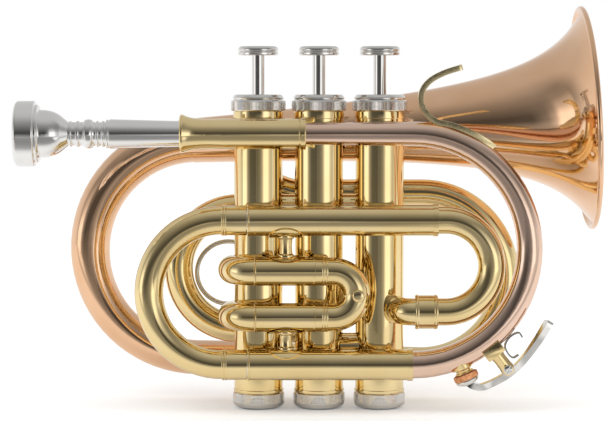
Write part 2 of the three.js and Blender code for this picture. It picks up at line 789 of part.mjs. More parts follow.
// Ferrule between the tail and the bell bow, and the bell bow itself
{
  const back = tailRoute.heading.clone().negate();
  const insertion = (tailFerruleLength - clearance) / 2;
  const ferruleStart = tailRoute.end.clone().addScaledVector(back, insertion);
  const ferruleRoute = new Route(ferruleStart.x, ferruleStart.y, ferruleStart.z, tailRoute.heading);
  ferruleRoute.straight(tailFerruleLength);
  const ferruleBore = boreCorners(bellBowStartRadius + clearance, pipeSides);
  addPiece("bell_bow_ferrule", tube(ferruleRoute, tailFerruleRadius, ferruleBore), yellowBrass);
  const radiusAt = (station) => {
    const share = station / bowRoute.steps;
    return THREE.MathUtils.lerp(bellBowStartRadius, bellBowEndRadius, share);
  };
  addPiece("bell_bow", conedTube(bowRoute, radiusAt, bellWall), roseBrass);
}

// Bell: the flare follows one formula, and its rim is rolled into a bead
{
  const radiusAt = (distance) => bellRimRadius * (flareOffset / (distance + flareOffset)) ** flarePower;
  const outside = bellStationShares.map((share) => [radiusAt(bellLength * (1 - share)), bellLength * share]);
  const inside = outside.map(([radius, height]) => [radius - bellWall, height]).reverse();
  const bead = [
    [bellRimRadius - bellBeadRadius, bellLength - bellBeadRadius],
    [bellRimRadius, bellLength - bellBeadRadius],
    [bellRimRadius + bellBeadRadius / 2, bellLength],
    [bellRimRadius, bellLength + bellBeadRadius],
    [bellRimRadius - bellBeadRadius, bellLength + bellBeadRadius / 2],
  ];
  const outline = [...outside, ...bead, ...inside, outside[0]];
  const place = bowRoute.end.clone().addScaledVector(bowRoute.heading, clearance);
  addPiece("bell", aimed(turned(outline, bellSides), place, bowRoute.heading), roseBrass);
}

// Ports: where each casing is bored, as [valve, height, heading]
const thirdEntryHeight = thirdLowerHeight + 2 * thirdRiseRadius * (1 - Math.cos(thirdRiseTurn));
const ports = [
  [0, firstSlideHeight, leftwards],
  [0, firstLowerHeight, leftwards],
  [0, tailPortHeight, backwards],
  [0, backKnuckleHeight, rightwards],
  [1, backKnuckleHeight, leftwards],
  [1, frontKnuckleHeight, rightwards],
  [1, secondSlideHeight, backwards],
  [1, secondLowerHeight, backwards],
  [2, frontKnuckleHeight, leftwards],
  [2, feedLowerHeight, new THREE.Vector3(1, -1, 0).normalize()],
  [2, thirdSlideHeight, backwards],
  [2, thirdEntryHeight, backwards],
];

// Cutters for the ports of one valve that lie above a height
function portCutters(valve, lowest) {
  const own = ports.filter(([owner, height]) => owner === valve && height - portRadius > lowest);
  return own.map(([, height, heading]) => rod(
    portRadius, casingRadius + cutOverrun, new THREE.Vector3(0, 0, height), heading, portSides));
}

// Valve casings with their ports, and the knuckles between them
valvePlaces.forEach((x, valve) => {
  const innerRadius = boreCorners(casingBoreRadius, casingSides);
  const bottomThreadTop = bottomCapHeight + clearance;
  const outline = [
    [threadRadius, casingFoot],
    [threadRadius, bottomThreadTop],
    [casingRadius, bottomThreadTop],
    [casingRadius, casingShoulder],
    [collarRadius, casingShoulder],
    [collarRadius, casingShoulder + collarHeight],
    [threadRadius, casingShoulder + collarHeight],
    [threadRadius, casingTop],
    [innerRadius, casingTop],
    [innerRadius, casingFoot],
    [threadRadius, casingFoot],
  ];
  const shell = cut(turned(outline, casingSides), ...portCutters(valve, bottomCapHeight));
  const casing = addPiece(`valve_casing_${valve + 1}`, shell, yellowBrass);
  casing.position.x = x;
});
[[0, backKnuckleHeight], [1, frontKnuckleHeight]].forEach(([valve, height]) => {
  const route = new Route(valvePlaces[valve], 0, height, rightwards).straight(valvePitch);
  const knuckle = cut(tube(route, knuckleRadius, portRadius), casingCutters[valve], casingCutters[valve + 1]);
  addPiece(`knuckle_${valve + 1}_${valve + 2}`, knuckle, yellowBrass);
});

// The moving and screwed pieces of each valve, all turned round the same axis
function bottomCapOutline() {
  const innerRadius = boreCorners(threadRadius + clearance, capSides);
  return [
    [0, 0],
    [footRadius, 0],
    [footBevelRadius, footBevelHeight],
    [bottomCapRadius, footRound],
    [bottomCapRadius, bottomCapHeight],
    [innerRadius, bottomCapHeight],
    [innerRadius, bottomCapFloor],
    [0, bottomCapFloor],
  ];
}

function topCapOutline() {
  const innerRadius = boreCorners(threadRadius + clearance, capSides);
  const stemHole = stemRadius + clearance;
  return [
    [innerRadius, topCapFoot],
    [topCapRadius, topCapFoot],
    [topCapRadius, topCapFoot + topCapBand],
    [topCapShoulderRadius, topCapFoot + topCapBand],
    [topCapFaceRadius, topCapFace],
    [boreCorners(stemHole, capSides), topCapFace],
    [boreCorners(stemHole, capSides), ceilingHeight],
    [innerRadius, ceilingHeight],
    [innerRadius, topCapFoot],
  ];
}

function pistonOutline() {
  return [
    [pistonMouthRadius, pistonFoot],
    [pistonRadius, pistonFoot],
    [pistonRadius, pistonTop],
    [0, pistonTop],
    [0, pistonTop - pistonCrown],
    [pistonRadius - pistonWall, pistonTop - pistonCrown],
    [pistonRadius - pistonWall, pistonFoot + springSeat],
    [pistonMouthRadius, pistonFoot + springSeat],
    [pistonMouthRadius, pistonFoot],
  ];
}

function feltOutline() {
  const hole = stemRadius + clearance;
  const foot = pistonTop + clearance;
  return [
    [hole, foot],
    [feltRadius, foot],
    [feltRadius, foot + feltThickness],
    [hole, foot + feltThickness],
    [hole, foot],
  ];
}

function buttonOutline() {
  const foot = buttonFoot;
  return [
    [0, foot],
    [stemRadius + 2 * clearance, foot],
    [buttonRadius - clearance, foot],
    [buttonRadius, foot + buttonSkirt],
    [buttonFaceRadius, foot + buttonThickness],
    [0, foot + buttonThickness - 2 * clearance],
  ];
}

// Return spring: one wire from the cap's floor to its seat in the piston's foot
class Helix extends THREE.Curve {
  constructor(radius, bottom, top, turns) {
    super();
    Object.assign(this, { radius, bottom, top, turns });
  }

  getPoint(share) {
    const angle = 2 * Math.PI * this.turns * share;
    const height = THREE.MathUtils.lerp(this.bottom, this.top, share);
    return new THREE.Vector3(this.radius * Math.cos(angle), this.radius * Math.sin(angle), height);
  }
}

const springFoot = bottomCapFloor + clearance + springWireRadius;
const springHead = pistonFoot - clearance - springWireRadius;

function springGeometry() {
  const coil = new Helix(springRadius, springFoot, springHead, springTurns);
  const wire = new THREE.Shape(Array.from({ length: springSides }, (_, side) => {
    const angle = (2 * Math.PI * side) / springSides;
    return new THREE.Vector2(springWireRadius * Math.cos(angle), springWireRadius * Math.sin(angle));
  }));
  return new THREE.ExtrudeGeometry(wire, { steps: springTurns * springStepsPerTurn, extrudePath: coil });
}

valvePlaces.forEach((x, valve) => {
  const number = valve + 1;
  const stemFoot = pistonTop + clearance;
  const stemLength = buttonFoot - clearance - stemFoot;
  const stem = rod(stemRadius, stemLength, new THREE.Vector3(0, 0, stemFoot), upwards, smallSides);
  const piston = cut(turned(pistonOutline(), casingSides), ...portCutters(valve, pistonFoot + springSeat));
  const pieces = [
    [`bottom_cap_${number}`, turned(bottomCapOutline(), capSides), nickel],
    [`top_cap_${number}`, turned(topCapOutline(), capSides), nickel],
    [`piston_${number}`, piston, nickel],
    [`valve_spring_${number}`, springGeometry(), springSteel],
    [`felt_washer_${number}`, turned(feltOutline(), casingSides), whiteFelt],
    [`valve_stem_${number}`, stem, nickel],
    [`finger_button_${number}`, turned(buttonOutline(), capSides), nickel],
  ];
  for (const [name, geometry, finish] of pieces) addPiece(name, geometry, finish).position.x = x;
});

// Spool braces: a post with a saddle on each tube that it joins
function spoolBrace(name, topHeight, topRadius, lowHeight, lowRadius) {
  const postFoot = new THREE.Vector3(braceAt, frontPlane, lowHeight);
  const post = rod(bracePostRadius, topHeight - lowHeight, postFoot, upwards, pipeSides);
  const saddles = [[topHeight, topRadius, -1], [lowHeight, lowRadius, 1]].map(([height, radius, side]) => {
    const reach = radius + clearance + braceSaddleThickness;
    const towardsPost = new THREE.Vector3(0, 0, side);
    const disc = rod(braceSaddleRadius, reach + cutOverrun, new THREE.Vector3(), towardsPost, casingSides);
    disc.scale(1, braceSaddleDepthShare, 1).translate(braceAt, frontPlane, height);
    const ends = new THREE.Vector3(braceAt - braceSaddleRadius - cutOverrun, frontPlane, height);
    const shell = rod(reach, 2 * (braceSaddleRadius + cutOverrun), ends, rightwards, 2 * pipeSides);
    return geometryOf(solidOf(disc).intersect(solidOf(shell)));
  });
  const seats = [[topHeight, topRadius], [lowHeight, lowRadius]].map(([height, radius]) => {
    const halfLength = braceSaddleRadius + 2 * cutOverrun;
    const start = new THREE.Vector3(braceAt - halfLength, frontPlane, height);
    return bore(radius + clearance, 2 * halfLength, start, rightwards, 2 * pipeSides);
  });
  addPiece(name, cut(join(post, ...saddles), ...seats), yellowBrass);
}
spoolBrace("upper_brace", mainUpperHeight, mainSleeveRadius, firstSlideHeight, valveSleeveRadius);
spoolBrace("lower_brace", firstLowerHeight, valveSleeveRadius, mainLowerHeight, mainSleeveRadius);

// Bell brace: a short post from the middle casing to the bell
{
  const fromRim = bellLength - bellBraceAlong;
  const bellRadiusThere = bellRimRadius * (flareOffset / (fromRim + flareOffset)) ** flarePower;
  const start = new THREE.Vector3(0, 0, bellAxisHeight);
  const post = rod(bellBraceRadius, bellPlane, start, backwards, smallSides);
  const axisStart = bowRoute.end.clone();
  axisStart.addScaledVector(bowRoute.heading, bellBraceAlong - 2 * bellBraceRadius);
  const bellCutter = bore(
    bellRadiusThere + 2 * clearance, 4 * bellBraceRadius, axisStart, bowRoute.heading, 2 * casingSides);
  addPiece("bell_brace", cut(post, casingCutters[1], bellCutter), yellowBrass);
}

// Water key: nipple, cork, lever, saddle with its post, pivot pin and spring
const loopPoint = (angle, reach) => new THREE.Vector3(
  leadpipeBendAt + reach * Math.sin(angle), frontPlane, leadpipeLoopHeight + reach * Math.cos(angle));
const loopOutward = (angle) => new THREE.Vector3(Math.sin(angle), 0, Math.cos(angle));
const loopSeat = (() => {
  const route = new Route(leadpipeBendAt, frontPlane, leadpipeHeight, rightwards);
  route.bend(leadpipeBendRadius, Math.PI, backwards);
  return conedTube(route, () => leadpipeEndRadius + clearance, leadpipeEndRadius);
})();
{
  const pipeFace = leadpipeBendRadius + leadpipeEndRadius;
  const nippleEnd = pipeFace + nippleLength;
  const nippleStart = loopPoint(nippleAngle, leadpipeBendRadius + leadpipeEndRadius / 2);
  const outward = loopOutward(nippleAngle);
  const nippleReach = nippleEnd - leadpipeBendRadius - leadpipeEndRadius / 2;
  const nipple = cut(
    rod(nippleRadius, nippleReach, nippleStart, outward, pipeSides),
    rod(nippleBore, nippleReach + cutOverrun, nippleStart, outward, smallSides),
    loopSeat,
  );
  addPiece("water_key_nipple", nipple, yellowBrass);

  const corkStart = nippleEnd + clearance;
  const cork = rod(corkRadius, corkThickness, loopPoint(nippleAngle, corkStart), outward, pipeSides);
  addPiece("water_key_cork", cork, corkBrown);

  const pivot = loopPoint(pivotAngle, pivotReach);
  const cupStart = corkStart + corkThickness + clearance;
  const cup = rod(corkCupRadius, corkCupThickness, loopPoint(nippleAngle, cupStart), outward, pipeSides);
  const pivotInPlane = new THREE.Vector2(pivot.x, pivot.z);
  const arm = strip(placedPath(leverPathShares, pivotInPlane, leverReach), leverThickness, leverWidth);
  const hubStart = pivot.clone().setY(frontPlane - leverWidth / 2);
  const hub = rod(leverHubRadius, leverWidth, hubStart, backwards, pipeSides);
  const holeStart = hubStart.clone().addScaledVector(backwards, -cutOverrun);
  const holeLength = leverWidth + 2 * cutOverrun;
  const pinHole = bore(pivotPinRadius + clearance, holeLength, holeStart, backwards, pipeSides);
  addPiece("water_key_lever", cut(join(cup, arm, hub), pinHole), nickel);

  const keySpringPath = placedPath(keySpringPathShares, pivotInPlane, keySpringReach);
  addPiece("water_key_spring", strip(keySpringPath, keySpringThickness, keySpringWidth), springSteel);

  const pinStart = pivot.clone().setY(frontPlane - pivotPinLength / 2);
  addPiece("water_key_pin", rod(pivotPinRadius, pivotPinLength, pinStart, backwards, smallSides), nickel);

  const postStart = loopPoint(pivotAngle, pipeFace - leadpipeEndRadius / 2);
  const postHeading = loopOutward(pivotAngle);
  const postLength = pivotReach + leverHubRadius - pipeFace + leadpipeEndRadius / 2;
  const block = new THREE.BoxGeometry(saddlePostWidth, pivotPinLength - 2 * clearance, postLength);
  block.translate(0, 0, postLength / 2);
  const slotDepth = saddlePostLength + leverHubRadius;
  const slotWidth = leverWidth + 2 * clearance;
  const slot = new THREE.BoxGeometry(saddlePostWidth + 2 * cutOverrun, slotWidth, slotDepth);
  slot.translate(0, 0, postLength - slotDepth / 2 + cutOverrun);
  const pinBore = bore(pivotPinRadius + clearance, pivotPinLength, pinStart, backwards, smallSides);
  const saddle = cut(
    aimed(block, postStart, postHeading),
    aimed(slot, postStart, postHeading),
    pinBore,
    loopSeat,
  );
  addPiece("water_key_saddle", saddle, yellowBrass);
}

export default trumpet;
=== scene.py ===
import math

import bpy
from mathutils import Matrix, Vector


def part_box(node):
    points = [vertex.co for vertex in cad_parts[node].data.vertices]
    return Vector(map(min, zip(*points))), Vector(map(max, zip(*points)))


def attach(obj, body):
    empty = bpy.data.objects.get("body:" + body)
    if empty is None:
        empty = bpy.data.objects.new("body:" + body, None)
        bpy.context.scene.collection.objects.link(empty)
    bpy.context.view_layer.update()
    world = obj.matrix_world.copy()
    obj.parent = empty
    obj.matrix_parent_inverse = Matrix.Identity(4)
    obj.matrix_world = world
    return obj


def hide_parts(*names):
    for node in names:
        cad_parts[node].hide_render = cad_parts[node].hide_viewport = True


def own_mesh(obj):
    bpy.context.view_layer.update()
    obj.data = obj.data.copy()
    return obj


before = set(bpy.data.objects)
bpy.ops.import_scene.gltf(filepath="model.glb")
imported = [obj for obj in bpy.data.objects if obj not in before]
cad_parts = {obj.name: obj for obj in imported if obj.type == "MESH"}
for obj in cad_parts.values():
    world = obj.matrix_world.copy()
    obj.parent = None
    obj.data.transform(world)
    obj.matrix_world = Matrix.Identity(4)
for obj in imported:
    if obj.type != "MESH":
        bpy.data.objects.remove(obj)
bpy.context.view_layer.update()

# Studio: the camera stands a metre in front of the valves, a little above the middle of the
# instrument, and looks slightly down.
camera_place = (-0.0058, -0.9684, 0.1408)
camera_tilt = math.radians(86.7)
camera_lens = 133.16
bpy.ops.object.camera_add(location=camera_place, rotation=(camera_tilt, 0, 0))
camera = bpy.context.object
camera.name = "studio_camera"
camera.data.lens = camera_lens
camera.data.sensor_width = 36
bpy.context.scene.camera = camera


def node(tree, kind, **settings):
    """Adds a shader node and gives it its settings."""
    made = tree.nodes.new(kind)
    for key, value in settings.items():
        setattr(made, key, value)
    return made


def maths(tree, operation, *terms):
    """A Math node. Each of its terms is a socket or a number."""
    made = node(tree, "ShaderNodeMath", operation=operation)
    for slot, value in zip(made.inputs, terms):
        if isinstance(value, (int, float)):
            slot.default_value = value
        else:
            tree.links.new(value, slot)
    return made.outputs[0]


def ramp(tree, factor, stops):
    """A Color Ramp node of grey tones, given as (position, tone)."""
    made = node(tree, "ShaderNodeValToRGB")
    made.color_ramp.elements.remove(made.color_ramp.elements[1])
    for index, (position, tone) in enumerate(stops):
        stop = made.color_ramp.elements[0] if index == 0 else made.color_ramp.elements.new(position)
        stop.position = position
        stop.color = (tone, tone, tone, 1)
    tree.links.new(factor, made.inputs["Fac"])
    return made.outputs["Color"]


# Floor: a white board. Towards the camera, out of the picture, its paint is darkened as painted shade,
# so that the tubes mirror a bright floor below them and a dim room in front. Two pools of the lamps'
# light are painted on that painted shade. To the camera the board glows, and so it looks white all over.
floor_size, floor_back, floor_drop = 3.2, 1.3, 0.0001
painted_shade_reach, painted_pool_tone, lamp_glow, white = 0.4, 0.6, 0.55, 1.08
bpy.ops.mesh.primitive_plane_add(size=floor_size, location=(0, floor_back, -floor_drop))
bpy.ops.object.transform_apply()
floor = bpy.context.object
floor.name = "studio_floor"
board = bpy.data.materials.new("white_board")
board.use_nodes = True
tree = board.node_tree
paint = tree.nodes["Principled BSDF"]
paint.inputs["Roughness"].default_value = 0.9
paint.inputs["Specular IOR Level"].default_value = 0.1
paint.inputs["Emission Color"].default_value = (1, 1, 1, 1)
place = node(tree, "ShaderNodeTexCoord")
spot = node(tree, "ShaderNodeSeparateXYZ")
tree.links.new(place.outputs["Object"], spot.inputs[0])
towards_front = maths(tree, "MULTIPLY", spot.outputs["Y"], -1 / painted_shade_reach)
# Painted shade: the board's paint grows darker towards the camera.
painted_shade = ramp(tree, towards_front, [(0.15, 0.86), (0.22, 0.72), (0.31, 0.34), (0.40, 0.26), (0.7, 0.22)])
across = maths(tree, "MULTIPLY", spot.outputs["X"], spot.outputs["X"])
along = maths(tree, "MULTIPLY", spot.outputs["Y"], spot.outputs["Y"])
distance = maths(tree, "SQRT", maths(tree, "ADD", across, along))
floor_bearing = maths(tree, "MULTIPLY_ADD", maths(tree, "DIVIDE", spot.outputs["X"], distance), 0.5, 0.5)
# Painted light: two pools of the lamps' light are painted on the shaded paint, to the left and right in
# front.
painted_light_pools = ramp(tree, floor_bearing, [
    (0.0, 0.5), (0.013, 1), (0.070, 1), (0.095, 0.4), (0.13, 0.1), (0.20, 0.0), (0.60, 0.0), (0.66, 0.15),
    (0.70, 0.6), (0.74, 1), (0.86, 1), (0.90, 0.6), (1.0, 0.5)])
painted_light_pools = maths(tree, "MULTIPLY", painted_light_pools, ramp(tree, towards_front, [(0.27, 0), (0.42, 1)]))
# The board's paint is the painted shade plus the painted pools of light.
tone = maths(tree, "ADD", painted_shade, maths(tree, "MULTIPLY", painted_light_pools, painted_pool_tone))
tree.links.new(tone, paint.inputs["Base Color"])
glow = maths(tree, "SUBTRACT", white, painted_shade)
glow = maths(tree, "SUBTRACT", glow, maths(tree, "MULTIPLY", painted_light_pools, lamp_glow))
path = node(tree, "ShaderNodeLightPath")
glow = maths(tree, "MULTIPLY", glow, path.outputs["Is Camera Ray"])
tree.links.new(glow, paint.inputs["Emission Strength"])
floor.data.materials.append(board)

# Studio room: white to the eye and to the floor. What the metal mirrors depends on the direction:
# a dim room with two upright lamps and a faint low glimmer in front, a grey ceiling, and white
# card behind.
world = bpy.data.worlds.new("studio_room")
bpy.context.scene.world = world
world.use_nodes = True
tree = world.node_tree
ray = node(tree, "ShaderNodeTexCoord")
spot = node(tree, "ShaderNodeSeparateXYZ")
tree.links.new(ray.outputs["Generated"], spot.inputs[0])
sideways, backward, upward = spot.outputs
height = maths(tree, "MULTIPLY_ADD", upward, 0.5, 0.5)
front_wall = ramp(tree, height, [
    (0.40, 0.28), (0.46, 0.12), (0.495, 0.06), (0.56, 0.06), (0.62, 0.11), (0.71, 0.18), (0.83, 0.30),
    (0.95, 0.50), (1.0, 0.55)])
back_wall = ramp(tree, height, [(0.45, 0.95), (0.60, 0.80), (0.75, 0.60), (1.0, 0.54)])
level = maths(tree, "SQRT", maths(tree, "SUBTRACT", 1, maths(tree, "MULTIPLY", upward, upward)))
bearing = maths(tree, "MULTIPLY_ADD", maths(tree, "DIVIDE", sideways, level), 0.5, 0.5)
lamps = ramp(tree, bearing, [
    (0.0, 0.45), (0.008, 0.5), (0.013, 1.2), (0.070, 1.2), (0.095, 0.5), (0.13, 0.2), (0.20, 0.03),
    (0.60, 0.0), (0.66, 0.2), (0.70, 0.8), (0.74, 1.2), (0.86, 1.2), (0.90, 0.7), (0.95, 0.45),
    (0.98, 0.75), (1.0, 0.6)])
lamp_height = ramp(tree, height, [(0.36, 0), (0.44, 1), (0.54, 1), (0.62, 0.45), (0.72, 0.1), (0.8, 0)])
glimmer = ramp(tree, bearing, [
    (0.40, 0.0), (0.43, 0.1), (0.48, 0.0), (0.497, 0.25), (0.515, 0.03), (0.55, 0.14), (0.64, 0.22),
    (0.7, 0.0)])
glimmer_height = ramp(tree, height, [(0.36, 0), (0.40, 0.9), (0.485, 1), (0.50, 0)])
front = maths(tree, "ADD", front_wall, maths(tree, "MULTIPLY", lamps, lamp_height))
front = maths(tree, "ADD", front, maths(tree, "MULTIPLY", glimmer, glimmer_height))
turn = node(tree, "ShaderNodeMapRange", interpolation_type="SMOOTHSTEP")
turn.inputs["From Min"].default_value = -0.25
turn.inputs["From Max"].default_value = 0.2
tree.links.new(backward, turn.inputs["Value"])
room = node(tree, "ShaderNodeMix", data_type="FLOAT")
tree.links.new(turn.outputs["Result"], room.inputs["Factor"])
tree.links.new(front, room.inputs["A"])
tree.links.new(back_wall, room.inputs["B"])
path = node(tree, "ShaderNodeLightPath")
mirrored = node(tree, "ShaderNodeMix", data_type="FLOAT")
tree.links.new(path.outputs["Is Glossy Ray"], mirrored.inputs["Factor"])
mirrored.inputs["A"].default_value = 1
tree.links.new(room.outputs["Result"], mirrored.inputs["B"])
tree.links.new(mirrored.outputs["Result"], tree.nodes["Background"].inputs["Color"])

# Lamps: two soft boxes, over the left and the right shoulder of the photographer. They light
# the floor and the matt pieces; the metal mirrors the room's own lamps instead.
lamp_target = Vector((0, 0, 0.08))
for name, stand, size, power in (
    ("soft_box_left", (-0.9, -0.9, 1.25), 0.9, 5),
    ("soft_box_right", (1.1, -0.7, 0.9), 0.6, 3),
):
    aim = (lamp_target - Vector(stand)).to_track_quat("-Z", "Y").to_euler()
    bpy.ops.object.light_add(type="AREA", location=stand, rotation=aim)
    lamp = bpy.context.object
    lamp.name = name
    lamp.data.shape = "SQUARE"
    lamp.data.size = size
    lamp.data.energy = power
    lamp.visible_glossy = False

bpy.context.scene.view_settings.view_transform = "Standard"

# Leadpipe: a thin coned pipe of rose brass. It leaves the receiver, passes in front of the valves
# and turns down round the large loop at the right, into the lower sleeve of the main slide.
MM = 0.001
FRONT, VALVES = -19, 0
LEFT, RIGHT = Vector((-1, 0, 0)), Vector((1, 0, 0))
NEAR, FAR = Vector((0, -1, 0)), Vector((0, 1, 0))
UP = Vector((0, 0, 1))
bend_step = math.radians(5)
merge_distance = 1e-6


class Tubing:
    """A tube in the making. Its open end is drawn on ring by ring, in millimetres."""

    def __init__(self, name, place, heading, radius, sides=48, solid=False):
        self.end = Vector(place)
        self.heading = Vector(heading).normalized()
        self.radius = radius
        facing = self.heading.to_track_quat("Z", "Y").to_euler()
        fill = "NGON" if solid else "NOTHING"
        bpy.ops.object.select_all(action="DESELECT")
        bpy.ops.mesh.primitive_circle_add(
            vertices=sides, radius=radius * MM, fill_type=fill, location=self.end * MM, rotation=facing)
        bpy.ops.object.transform_apply()
        self.piece = bpy.context.object
        self.piece.name = self.piece.data.name = name
        bpy.ops.object.mode_set(mode="EDIT")
        bpy.ops.mesh.select_all(action="SELECT")

    def swage(self, radius):
        if radius is not None and radius != self.radius:
            share = radius / self.radius
            bpy.ops.transform.resize(value=(share, share, share), center_override=self.end * MM)
            self.radius = radius

    def straight(self, length, radius=None):
        move = self.heading * length
        bpy.ops.mesh.extrude_region_move(TRANSFORM_OT_translate={"value": move * MM})
        self.end = self.end + move
        self.swage(radius)

    def bend(self, bend_radius, turn, axis, radius=None):
        inward = axis.cross(self.heading) * math.copysign(1, turn)
        centre = self.end + inward * bend_radius
        rings = math.ceil(abs(turn) / bend_step)
        first = self.radius
        each = Matrix.Rotation(turn / rings, 3, axis)
        for ring in range(1, rings + 1):
            bpy.ops.mesh.spin(steps=1, angle=-turn / rings, center=centre * MM, axis=axis)
            self.end = centre + each @ (self.end - centre)
            self.heading = each @ self.heading
            if radius is not None:
                self.swage(first + (radius - first) * ring / rings)

    def finish(self, wall=None, edge=0.12):
        """Closes the mesh, gives it its wall and breaks its sharp edges as polishing does."""
        bpy.ops.mesh.select_all(action="SELECT")
        bpy.ops.mesh.remove_doubles(threshold=merge_distance)
        bpy.ops.mesh.normals_make_consistent(inside=False)
        bpy.ops.object.mode_set(mode="OBJECT")
        if wall:
            bpy.ops.object.modifier_add(type="SOLIDIFY")
            shell = self.piece.modifiers[-1]
            shell.thickness = wall * MM
            shell.offset = -1
            bpy.ops.object.modifier_apply(modifier=shell.name)
        return break_edges(self.piece, edge)


def take_up(piece):
    """Selects one piece alone, for the operators that follow."""
    bpy.ops.object.select_all(action="DESELECT")
    piece.select_set(True)
    bpy.context.view_layer.objects.active = piece


def break_edges(piece, edge, sharp=38, rows=2, weighted=True):
    """Rounds the edges that are sharper than an angle, and shades the piece."""
    take_up(piece)
    if edge:
        bpy.ops.object.modifier_add(type="BEVEL")
        bevel = piece.modifiers[-1]
        bevel.width = edge * MM
        bevel.segments = rows
        bevel.limit_method = "ANGLE"
        bevel.angle_limit = math.radians(sharp)
        bpy.ops.object.modifier_apply(modifier=bevel.name)
    return smoothed(piece, sharp, weighted)


def smoothed(piece, sharp, weighted=True):
    """Smooth shading up to an angle. Large faces set the normals, so that long tubes mirror truly."""
    take_up(piece)
    bpy.ops.mesh.customdata_custom_splitnormals_clear()
    bpy.ops.object.shade_smooth_by_angle(angle=math.radians(sharp))
    if weighted:
        bpy.ops.object.modifier_add(type="WEIGHTED_NORMAL")
        normals = piece.modifiers[-1]
        normals.keep_sharp = True
        bpy.ops.object.modifier_apply(modifier=normals.name)
    return piece


def dress(piece, metal, slot, body, *cad_nodes):
    """Gives a finished piece its metal, the body that it moves with and the nodes that it stands for."""
    piece.data.materials.clear()
    piece.data.materials.append(metal)
    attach(piece, body)
    if cad_nodes:
        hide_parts(*cad_nodes)
    return piece


def noise(tree, scale, detail):
    """A cloudy pattern that is fixed to the piece."""
    place = node(tree, "ShaderNodeTexCoord")
    cloud = node(tree, "ShaderNodeTexNoise")
    cloud.inputs["Scale"].default_value = scale
    cloud.inputs["Detail"].default_value = detail
    tree.links.new(place.outputs["Object"], cloud.inputs["Vector"])
    return cloud.outputs["Fac"]


def toned(tree, pattern, dark, light, dark_end, light_end):
    """Colours the material with two close tones, mixed by a pattern."""
    tone = node(tree, "ShaderNodeValToRGB")
    first, last = tone.color_ramp.elements
    first.position, first.color = dark_end, (*dark, 1)
    last.position, last.color = light_end, (*light, 1)
    tree.links.new(pattern, tone.inputs["Fac"])
    tree.links.new(tone.outputs["Color"], tree.nodes["Principled BSDF"].inputs["Base Color"])


def embossed(tree, pattern, depth, strength):
    """Gives the surface the slight relief of a pattern."""
    relief = node(tree, "ShaderNodeBump")
    relief.inputs["Strength"].default_value = strength
    relief.inputs["Distance"].default_value = depth
    tree.links.new(pattern, relief.inputs["Height"])
    tree.links.new(relief.outputs["Normal"], tree.nodes["Principled BSDF"].inputs["Normal"])


def lacquered(name, bright, deep, roughness, lacquer):
    """Buffed metal under clear lacquer: its tone drifts a little and fine buffing marks blur it."""
    metal = bpy.data.materials.new(name)
    metal.use_nodes = True
    tree = metal.node_tree
    shader = tree.nodes["Principled BSDF"]
    shader.inputs["Metallic"].default_value = 1
    shader.inputs["Coat Weight"].default_value = lacquer
    shader.inputs["Coat Roughness"].default_value = 0.05
    toned(tree, noise(tree, 45, 3), deep, bright, 0.34, 0.66)
    marks = node(tree, "ShaderNodeMapRange")
    marks.inputs["From Min"].default_value = 0.3
    marks.inputs["From Max"].default_value = 0.7
    marks.inputs["To Min"].default_value = roughness * 0.7
    marks.inputs["To Max"].default_value = roughness * 1.4
    tree.links.new(noise(tree, 900, 4), marks.inputs["Value"])
    tree.links.new(marks.outputs["Result"], shader.inputs["Roughness"])
    embossed(tree, noise(tree, 150, 2), 0.00004, 0.35)
    return metal


rose_brass = lacquered("rose_brass", (0.94, 0.61, 0.39), (0.89, 0.55, 0.33), 0.06, 0.2)
pale_rose_brass = lacquered("pale_rose_brass", (0.93, 0.68, 0.54), (0.88, 0.62, 0.47), 0.06, 0.2)
leadpipe_start, leadpipe_height, leadpipe_radius, thin_wall = -25.6, 118.3, 4.3, 0.5
first_run, first_radius = 20.3, 4.58
second_run, second_radius = 45.2, 5.2
loop_radius, loop_end_radius, last_run = 48.75, 5.8, 3.4
leadpipe = Tubing("leadpipe_pipe", (leadpipe_start, FRONT, leadpipe_height), RIGHT, leadpipe_radius)
leadpipe.straight(first_run, first_radius)
leadpipe.straight(second_run, second_radius)
leadpipe.bend(loop_radius, math.pi, FAR, loop_end_radius)
leadpipe.straight(last_run)
dress(leadpipe.finish(wall=thin_wall), pale_rose_brass, "rose_brass", "instrument", "leadpipe")

# Mouthpiece receiver: a turned yellow brass socket, soldered over the start of the leadpipe. It
# has a flared lip, a shallow waist and a raised ring at its far end.
yellow_brass = lacquered("yellow_brass", (0.95, 0.76, 0.41), (0.91, 0.70, 0.34), 0.05, 0.2)


def soldered(piece, cad_node):
    """Dresses a yellow brass piece that is soldered to the instrument."""
    return dress(piece, yellow_brass, "yellow_brass", "instrument", cad_node)


def faired(points, steps):
    """A smooth line through the given points, as a turner blends one width into the next."""
    line = []
    padded = [points[0], *points, points[-1]]
    for a, b, c, d in zip(padded, padded[1:], padded[2:], padded[3:]):
        for step in range(steps):
            t = step / steps
            line.append(tuple(
                0.5 * (2 * q + (r - p) * t + (2 * p - 5 * q + 4 * r - s) * t * t
                       + (3 * q - p - 3 * r + s) * t ** 3)
                for p, q, r, s in zip(a, b, c, d)))
    return [*line, points[-1]]


def turned(name, place, heading, outline, sides=64, solid=False, edge=0.12):
    """A lathe piece: outline lists how far along the axis each ring lies, and its radius."""
    start = Vector(place)
    blank = Tubing(name, start + heading * outline[0][0], heading, outline[0][1], sides, solid)
    for (before, _), (along, radius) in zip(outline, outline[1:]):
        blank.straight(along - before, radius)
    return blank.finish(edge=edge)


receiver_start = -58.6
lip = faired([
    (0.0, 7.55), (0.35, 8.0), (0.9, 8.15), (1.5, 8.0), (3.0, 7.35), (5.5, 6.72), (9.5, 6.3), (13.5, 6.3),
    (18, 6.45)], 4)
receiver_outline = [
    (0, 5.75), (0, 7.2), *lip,
    (50.2, 6.45), (50.2, 6.2), (50.7, 6.2), (50.7, 6.75), (52.6, 6.75), (53, 6.4),
    (53, 4.9), (15.6, 4.9), (15.6, 5.3), (0, 5.75),
]
receiver = turned("receiver_socket", (receiver_start, FRONT, leadpipe_height), RIGHT, receiver_outline)
soldered(receiver, "mouthpiece_receiver")

